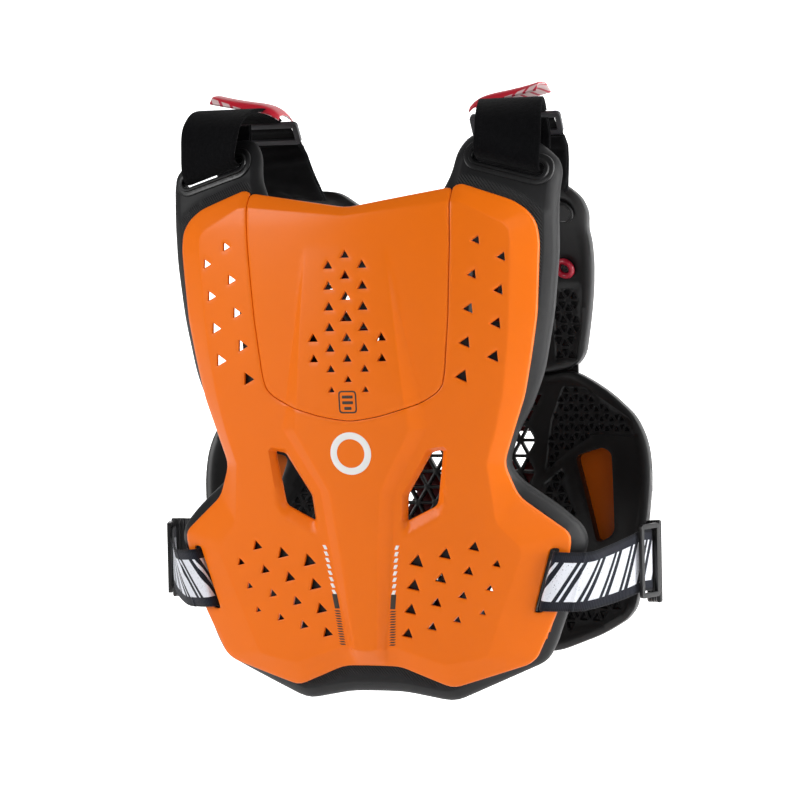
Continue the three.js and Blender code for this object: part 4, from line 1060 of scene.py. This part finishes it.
def sewn(share, out, extras):
    """The seam of the elastic: a low ridge across the strap."""
    return 1, .55 * math.exp(-((share - .47) / .012) ** 2)


for elastic in both_sides("side_elastic", "side_strap", "elastic_navy", ELASTIC, lambda name: woven_band(
        name, SIDE_ROWS, 50, 1.7, side_across, 150, 0, 0, 1, sewn)):
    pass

# %% [markdown]
# ## Buckles and sliders
# The buckle and the slider are plain bar frames. Each is a cube whose corners are bevelled and whose
# two faces are inset and bridged, which opens the middle; a Bevel modifier then rounds the bars.

# %% Bar frames
def select_faces(piece, test):
    """In edit mode, selects the faces that pass the test and nothing else."""
    bpy.ops.mesh.select_mode(type="FACE")
    bpy.ops.mesh.select_all(action="DESELECT")
    mesh = bmesh.from_edit_mesh(piece.data)
    for face in mesh.faces:
        face.select_set(test(face))
    bmesh.update_edit_mesh(piece.data)


def bar_frame(name, width, height, bar, wall, corner):
    bpy.ops.object.select_all(action="DESELECT")
    bpy.ops.mesh.primitive_cube_add(size=1, scale=(width * MM, height * MM, wall * MM))
    piece = bpy.context.object
    piece.name = name
    bpy.ops.object.transform_apply(location=False, rotation=False, scale=True)
    bpy.ops.object.mode_set(mode="EDIT")
    bpy.ops.mesh.select_mode(type="EDGE")
    bpy.ops.mesh.select_all(action="DESELECT")
    mesh = bmesh.from_edit_mesh(piece.data)
    for edge in mesh.edges:
        edge.select_set(abs(edge.verts[0].co.z - edge.verts[1].co.z) > wall * MM / 2)
    bmesh.update_edit_mesh(piece.data)
    bpy.ops.mesh.bevel(offset=corner * MM, segments=5, affect="EDGES")
    select_faces(piece, lambda face: abs(face.normal.z) > .9)
    bpy.ops.mesh.inset(thickness=bar * MM)
    bpy.ops.mesh.bridge_edge_loops()
    bpy.ops.mesh.select_all(action="SELECT")
    bpy.ops.mesh.normals_make_consistent(inside=False)
    bpy.ops.object.mode_set(mode="OBJECT")
    rounding = piece.modifiers.new("Rounding", "BEVEL")
    rounding.width, rounding.segments, rounding.limit_method = .25 * wall * MM, 3, "ANGLE"
    bpy.ops.object.modifier_apply(modifier="Rounding")
    bpy.ops.object.shade_smooth_by_angle(angle=math.radians(40))
    print(f"{name}: {len(piece.data.polygons)} faces")
    return piece


def set_in_place(piece, centre, right, up):
    """Moves a piece's mesh so that its X and Y run along right and up, round that centre in millimetres."""
    right, up = Vector(right).normalized(), Vector(up).normalized()
    basis = Matrix((right, up, right.cross(up))).transposed().to_4x4()
    piece.data.transform(Matrix.Translation(Vector(centre) * MM) @ basis)


# %% Buckles, sliders and anchors
def buckle(name):
    piece = bar_frame(name, 28, 60, 4, 3, 3.2)
    along = np.subtract(SIDE_ROWS[-1][:3], SIDE_ROWS[-2][:3])
    centre = on_run(SIDE_RUN, [(.65, .612, .043, .134)])[0]
    set_in_place(piece, centre, (along[0], along[1], 0), (0, 0, 1))
    return piece


SLIDER_FALL = math.radians(52)
SLIDER_CENTRE = np.array(on_run(SHOULDER_RUN, [(.6, -.046, .092, .923)])[0])
SLIDER_UP = np.array([0, -math.cos(SLIDER_FALL), math.sin(SLIDER_FALL)])
SLIDER_OUT = np.array([0, math.sin(SLIDER_FALL), math.cos(SLIDER_FALL)])


def slider(name):
    piece = bar_frame(name, 76, 21, 4.5, 3.6, 3.6)
    set_in_place(piece, SLIDER_CENTRE, (1, 0, 0), SLIDER_UP)
    return piece


def slider_loop(name):
    """The yoke's fabric, laid through the slider's window and round its lower bar."""
    rows = [tuple(SLIDER_CENTRE + SLIDER_UP * along + SLIDER_OUT * lift) for along, lift in (
        (-17, 2.4), (-10.6, 3.4), (-5, 1.2), (0, 0), (5, -1.2), (9, 1.8))]
    return woven_band(name, rows, 66, 1.8, lambda extras: (1, 0, 0), 40,
                      shape=lambda share, out, extras: (1.1 if share < .3 else 1, 0))


ANCHOR_ROWS = on_run(SIDE_RUN, [(.75, .579, .11, .087), (.85, .42, .124, .06), (.95, .203, .086, .032),
                                (1, -.002, .149, .008)])


def ribbed_profile(share, out, extras):
    """Low ladder ribs across the anchor."""
    rib = max(0, math.sin(share * math.pi * 12)) ** .5 if .12 < share < .9 else 0
    return 1, .9 * rib


both_sides("buckle_frame", "side_buckle", "moulded_black", BLACK, buckle)
both_sides("slider_frame", "shoulder_slider", "moulded_grey", GREY, slider)
for fold in both_sides("slider_loop", None, "yoke_black", KNIT, slider_loop):
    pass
both_sides("anchor_plate", "buckle_anchor", "moulded_black", BLACK, lambda name: woven_band(
    name, ANCHOR_ROWS, 68, 3.2, lambda extras: (0, 0, -1), 72, 0, 0, 1, ribbed_profile))

# %% [markdown]
# ## Red tabs
# A thin red tab is sewn over the end of each strap. Its front edge curls down and its inner end hangs
# past the strap. Its face is plain red. Its underside and the outer part of its front edge are pale,
# with red slanting stripes.

# %% Tabs
def tab_finish():
    finish = Finish("tab_red", Roughness=.42)
    along, across, _ = finish.axes(finish.add("UVMap", {"uv_map": "UVMap"}))
    under = finish.attribute("underside")
    stripe = ((across - along * .6) / .009).part() < .3
    pale = finish.mix(stripe, (.7, .5, .5, 1), (.5, .02, .05, 1))
    red = finish.mix(finish.noise(finish.place(), 120, 3), (.56, .006, .025, 1), (.48, .005, .02, 1))
    finish.colour(finish.mix(under, red, pale))
    finish.bump(finish.noise(finish.place(), 1300, 3), 6e-5, .6)
    return finish.material


TAB_X, TAB_Y, TAB_Z = on_run(SHOULDER_RUN, [(.4, -.163, .298, 1.352)])[0]
TAB_HALF = 22
TAB_ROWS = [(TAB_X, TAB_Y + back, TAB_Z - fall)
            for back, fall in ((-TAB_HALF, 7), (-17, 2.4), (-6, .4), (8, .6), (TAB_HALF, 6))]


def draped(share, out, extras):
    """The tab's inner end hangs down past the strap's edge."""
    return 1, -7 * max(0, -out) ** 4 + 1.5 * max(0, out) ** 2


def red_tab(name):
    tilt = math.radians(9)
    piece = woven_band(name, TAB_ROWS, 60, 1.6, lambda extras: (math.cos(tilt), 0, math.sin(tilt)), 40,
                       shape=draped)
    under = [vertex.normal.z < -.3 or
             vertex.co.y / MM - TAB_Y + TAB_HALF < 3 * (vertex.co.x / MM - TAB_X - 6) / 24
             for vertex in piece.data.vertices]
    underside = piece.data.attributes.new("underside", "FLOAT", "POINT")
    underside.data.foreach_set("value", [float(value) for value in under])
    return piece


TAB = tab_finish()
both_sides("red_tab", "strap_end_tab", "tab_red", TAB, red_tab)

# %% [markdown]
# ## Caps and grommets
# The cap is a low turned disc with a step in it, and the grommet is a ring spun from a small profile
# with a dark rivet in its bore. Both sit square to the back's inner face.

# %% Turned pieces
def turned(name, profile, steps=40):
    """Spins a profile of (radius, height) in millimetres about Z into a closed solid."""
    bpy.ops.object.select_all(action="DESELECT")
    bpy.ops.mesh.primitive_plane_add(size=1)
    piece = bpy.context.object
    piece.name = name
    mesh = bmesh.new()
    verts = [mesh.verts.new((radius * MM, 0, height * MM)) for radius, height in profile]
    for pair in zip(verts, verts[1:]):
        mesh.edges.new(pair)
    mesh.to_mesh(piece.data)
    mesh.free()
    bpy.ops.object.mode_set(mode="EDIT")
    bpy.ops.mesh.select_all(action="SELECT")
    bpy.ops.mesh.spin(steps=steps, angle=2 * math.pi, center=(0, 0, 0), axis=(0, 0, 1))
    bpy.ops.mesh.select_all(action="SELECT")
    bpy.ops.mesh.remove_doubles(threshold=1e-6)
    bpy.ops.mesh.normals_make_consistent(inside=False)
    bpy.ops.object.mode_set(mode="OBJECT")
    bpy.ops.object.shade_smooth_by_angle(angle=math.radians(35))
    return piece


def seat_on_back(piece, x, z):
    """Moves a turned piece's mesh onto the back's inner face, its axis square to it."""
    around = back_inner(np.array([(x + 1, z), (x - 1, z), (x, z + 1), (x, z - 1), (x, z)], float))
    normal = Vector(((around[0] - around[1]) / 2, -1, (around[2] - around[3]) / 2)).normalized()
    centre = Vector((x, around[4], z)) + normal * 1.4
    turn = normal.to_track_quat("Z", "Y").to_matrix().to_4x4()
    piece.data.transform(Matrix.Translation(centre * MM) @ turn)
    return piece


CAP_CENTRE, GROMMET_CENTRE = (136, -80), (130, -127)
CAP = [(0, 0), (11.5, 0), (11.5, .9), (10.9, 1.6), (10, 1.8), (9.6, 1.3), (9, 1.3), (8.6, 1.9), (5, 2),
       (0, 2)]
GROMMET = [(4.5, 0), (9, 0), (9, 1.8), (8.4, 3), (7.4, 3.8), (6.6, 4), (5.6, 3.6), (4.9, 2.9), (4.5, 2.2),
           (4.5, 0)]
RIVET = [(0, -.6), (4.2, -.6), (4.2, .4), (3.2, .9), (2.6, .5), (2, .5), (1.2, 1.3), (0, 1.5)]
for label, node, slot_name, material, profile, centre in (
        ("back_disc", "back_cap", "moulded_black", BLACK, CAP, CAP_CENTRE),
        ("red_ring", "back_grommet", "grommet_red", GROMMET_RED, GROMMET, GROMMET_CENTRE),
        ("ring_rivet", None, "moulded_black", BLACK, RIVET, GROMMET_CENTRE)):
    both_sides(label, node, slot_name, material,
               lambda name: seat_on_back(turned(name, profile), *centre))

# %% [markdown]
# ## Shoulder yokes
# The yoke is the soft padded piece that joins a strap to the back. A cloth simulation swells a
# slightly wider form with a little pressure, so its edges draw in and its middle fills out. The
# movement is capped, because the real pad stays thin. Folds where it bends come afterwards, since the
# remesh would smooth them away, and a bound edge is laid round it last.

# %% Yoke form
YOKE_ROWS = on_run(SHOULDER_RUN, [
    (.65, -.029, .103, .754, .9, .6, 0), (.72, -.005, .02, .613, .96, 1, .05),
    (.82, .018, -.094, .415, .98, 1, .14), (.9, .015, -.151, .219, 1, 1, .22),
    (1, -.001, -.177, -.001, 1, .8, .26)])


def yoke_across(extras):
    return 1, -extras[2], 0


def yoke_shape(share, out, extras):
    return extras[0], 0


VOXEL, CLOTH_STEPS = .0035, 20


def swollen(piece, pressure, cap_mm):
    """Runs the cloth simulation on a piece and keeps its result, capped."""
    only(piece)
    piece.data.remesh_voxel_size = VOXEL
    bpy.ops.object.voxel_remesh()
    rest = np.array([vertex.co[:] for vertex in piece.data.vertices])
    cloth = piece.modifiers.new("Cloth", "CLOTH")
    cloth.settings.use_pressure, cloth.settings.uniform_pressure_force = True, pressure
    cloth.settings.effector_weights.gravity = 0
    cloth.settings.quality = 5
    for step in range(1, CLOTH_STEPS + 1):
        bpy.context.scene.frame_set(step)
    drawn = piece.evaluated_get(bpy.context.evaluated_depsgraph_get())
    moved = np.array([vertex.co[:] for vertex in drawn.data.vertices]) - rest
    piece.modifiers.remove(cloth)
    bpy.context.scene.frame_set(1)
    reach = np.linalg.norm(moved, axis=1, keepdims=True)
    rest = rest + moved * np.minimum(1, cap_mm * MM / np.maximum(reach, 1e-9))
    print(f"{piece.name}: moved up to {1000 * reach.max():.1f} mm before the cap")
    piece.data.vertices.foreach_set("co", rest.ravel())
    smooth = piece.modifiers.new("Smooth", "SUBSURF")
    smooth.levels = smooth.render_levels = 1
    bpy.ops.object.modifier_apply(modifier="Smooth")


def yoke(name):
    piece = woven_band(name, YOKE_ROWS, 85, 6, yoke_across, 26, 0, 0, .98, yoke_shape)
    swollen(piece, 4, 2)
    places = np.array([vertex.co[:] for vertex in piece.data.vertices]) / MM
    height = places[:, 2]
    upper_folds = np.sin(height / 2.1 + places[:, 0] / 17) * np.exp(-((height + 32) / 7) ** 2)
    lower_folds = np.sin(height / 3.4 - places[:, 0] / 11) * np.exp(-((height + 52) / 12) ** 2)
    folds = .9 * upper_folds + .5 * lower_folds
    normals = np.array([vertex.normal[:] for vertex in piece.data.vertices])
    piece.data.vertices.foreach_set("co", ((places + normals * folds[:, None]) * MM).ravel())
    piece.data.shade_smooth()
    return piece


yoke_left, yoke_right = both_sides("yoke_pad", "shoulder_yoke", "yoke_black", KNIT, yoke)


# %% Yoke binding
def bound_edge(side):
    """One binding strip along a side of the yoke: a narrow band that stands round the pad's edge."""
    rows = []
    for share in np.linspace(0, 1, 9):
        place, extras = along_path(YOKE_ROWS, share)
        out = Vector((1, -extras[2], 0)).normalized() * side * (40.2 * extras[0])
        rows.append((*(Vector(place) + out), extras[2]))
    return lambda name: woven_band(name, rows, 4.4, 2.4, lambda extras: (1, -extras[0], 0), 50)


for side, label in ((1, "outer"), (-1, "inner")):
    both_sides(f"yoke_binding_{label}", None, "yoke_black", BINDING, bound_edge(side))

# %% [markdown]
# ## Marks
# The shell carries a plain white ring, a small framed badge and, on each side of the spine's foot, a row
# of white slanting bars that ends in a dark hatch. They are thin pieces that follow the shell's form, a
# little proud of it, as a printed film would be.

# %% Marks on the shell
def film(name, outline, holes, lift=.15, spacing=2.0):
    return pressed_panel(name, outline, holes, [], spacing, .12, (.05, .05),
                         lambda points: eased(shell_front, CREASE_SOFTNESS)(points) - lift)


def circle(centre, radius, steps=56):
    angles = np.linspace(0, 2 * math.pi, steps, endpoint=False)
    return np.array(centre) + radius * np.column_stack([np.cos(angles), np.sin(angles)])


def slab(centre, width, height, slant=0.0, corner=.5):
    x, z = centre
    corners = [(x - width / 2 - slant, z - height / 2), (x + width / 2 - slant, z - height / 2),
               (x + width / 2 + slant, z + height / 2), (x - width / 2 + slant, z + height / 2)]
    return softened(np.array(corners), corner)


ring = film("white_ring", circle((-1, -272), 17), [circle((-1, -272), 11.5)])
placed_on_frame(ring, MARK_WHITE, "shell_orange")
badge = film("badge_frame", slab((-1, -231), 15, 18, 0, 3), [slab((-1, -231), 12.6, 15.6, 0, 2.2)])
placed_on_frame(badge, MARK_DARK, "shell_orange")
for index, (height, width) in enumerate(((-227, 9), (-231.5, 9), (-236, 6))):
    bar = film(f"badge_bar_{index}", slab((-1, height), width, 2.4, 0, .6), [])
    placed_on_frame(bar, MARK_DARK, "shell_orange")


def mark_place(side, height):
    """Where a row of marks runs beside the spine's foot."""
    return side * (24.4 + (.14 if height > -390 else .09) * (height + 390)), height


def mark_row(name, side, rows, material):
    """One piece of small slanting slabs: each row is a height and a slab's width and length."""
    slabs = [film(f"{name}_{index}", slab(mark_place(side, height), width, length, .8 * side, .25), [])
             for index, (height, width, length) in enumerate(rows)]
    only(slabs[0])
    for piece in slabs:
        piece.select_set(True)
    bpy.ops.object.join()
    slabs[0].name = name
    placed_on_frame(slabs[0], material, "shell_orange")


for side, label in ((1, "left"), (-1, "right")):
    hatch = [(-392, 4.2, 12)] + [(-400 - 2.1 * step, 4.2, 1.1) for step in range(14)]
    mark_row(f"hatch_{label}", side, hatch, MARK_DARK)
    mark_row(f"bars_{label}", side, [(-348 - 5.2 * step, 2.6, 3.4) for step in range(8)], MARK_WHITE)

# %% [markdown]
# ## Studio
# The photograph is a catalogue picture on pure white. A pale sweep runs under the object and up behind
# it. Behind the object the sweep glows, as a backdrop with its own lamps does, so it stays white while
# the object is lit quietly: a wide light from the upper left, a weak one from the right, and a strip
# far out on the right that draws the bright lines along the rims.

# %% Sweep and lights
def sweep():
    bpy.ops.object.select_all(action="DESELECT")
    bpy.ops.mesh.primitive_plane_add(size=12, location=(0, 0, -.62))
    floor = bpy.context.object
    floor.name = "studio_sweep"
    bpy.ops.object.transform_apply(location=True)
    bpy.ops.object.mode_set(mode="EDIT")
    bpy.ops.mesh.select_all(action="DESELECT")
    bpy.ops.mesh.select_mode(type="EDGE")
    mesh = bmesh.from_edit_mesh(floor.data)
    for edge in mesh.edges:
        edge.select_set(all(vertex.co.y > 5 for vertex in edge.verts))
    bmesh.update_edit_mesh(floor.data)
    bpy.ops.mesh.extrude_region_move(TRANSFORM_OT_translate={"value": (0, 0, 7)})
    bpy.ops.object.mode_set(mode="OBJECT")
    finish = Finish("studio_white", Roughness=.9, Emission_Strength=1.0)
    place = finish.place()
    tint = finish.noise(place, .6, 1)
    finish.colour(finish.mix(tint, (.9, .9, .9, 1), (.92, .92, .92, 1)))
    glow = finish.add("MapRange", values={"Value": finish.axes(place)[1], "From Min": -.2, "From Max": .4})
    finish.feed(finish.shader.inputs["Emission Color"], finish.mix(glow, (0, 0, 0, 1), (1, 1, 1, 1)))
    floor.data.materials.append(finish.material)


def soft_light(name, location, width, height, power):
    bpy.ops.object.light_add(type="AREA", location=location)
    light = bpy.context.object
    light.name = name
    light.data.shape, light.data.energy = "RECTANGLE", power
    light.data.size, light.data.size_y = width, height
    light.rotation_euler = (AIM - Vector(location)).to_track_quat("-Z", "Y").to_euler()


sweep()
soft_light("key_light", (-1.75, -2.05, .75), 1.6, 1.6, 50)
soft_light("side_light", (1.6, -2.1, .5), .9, 1.2, 8)
soft_light("strip_light", (1.7, .2, .1), .5, 1.9, 36)
world = bpy.data.worlds.new("studio")
world.use_nodes = True
world.node_tree.nodes["Background"].inputs[0].default_value = (1, 1, 1, 1)
world.node_tree.nodes["Background"].inputs[1].default_value = .16
bpy.context.scene.world = world
bpy.context.scene.view_settings.view_transform = "Standard"

# %% [markdown]
# ## Finish

# %% Finish
bpy.ops.object.select_all(action="DESELECT")
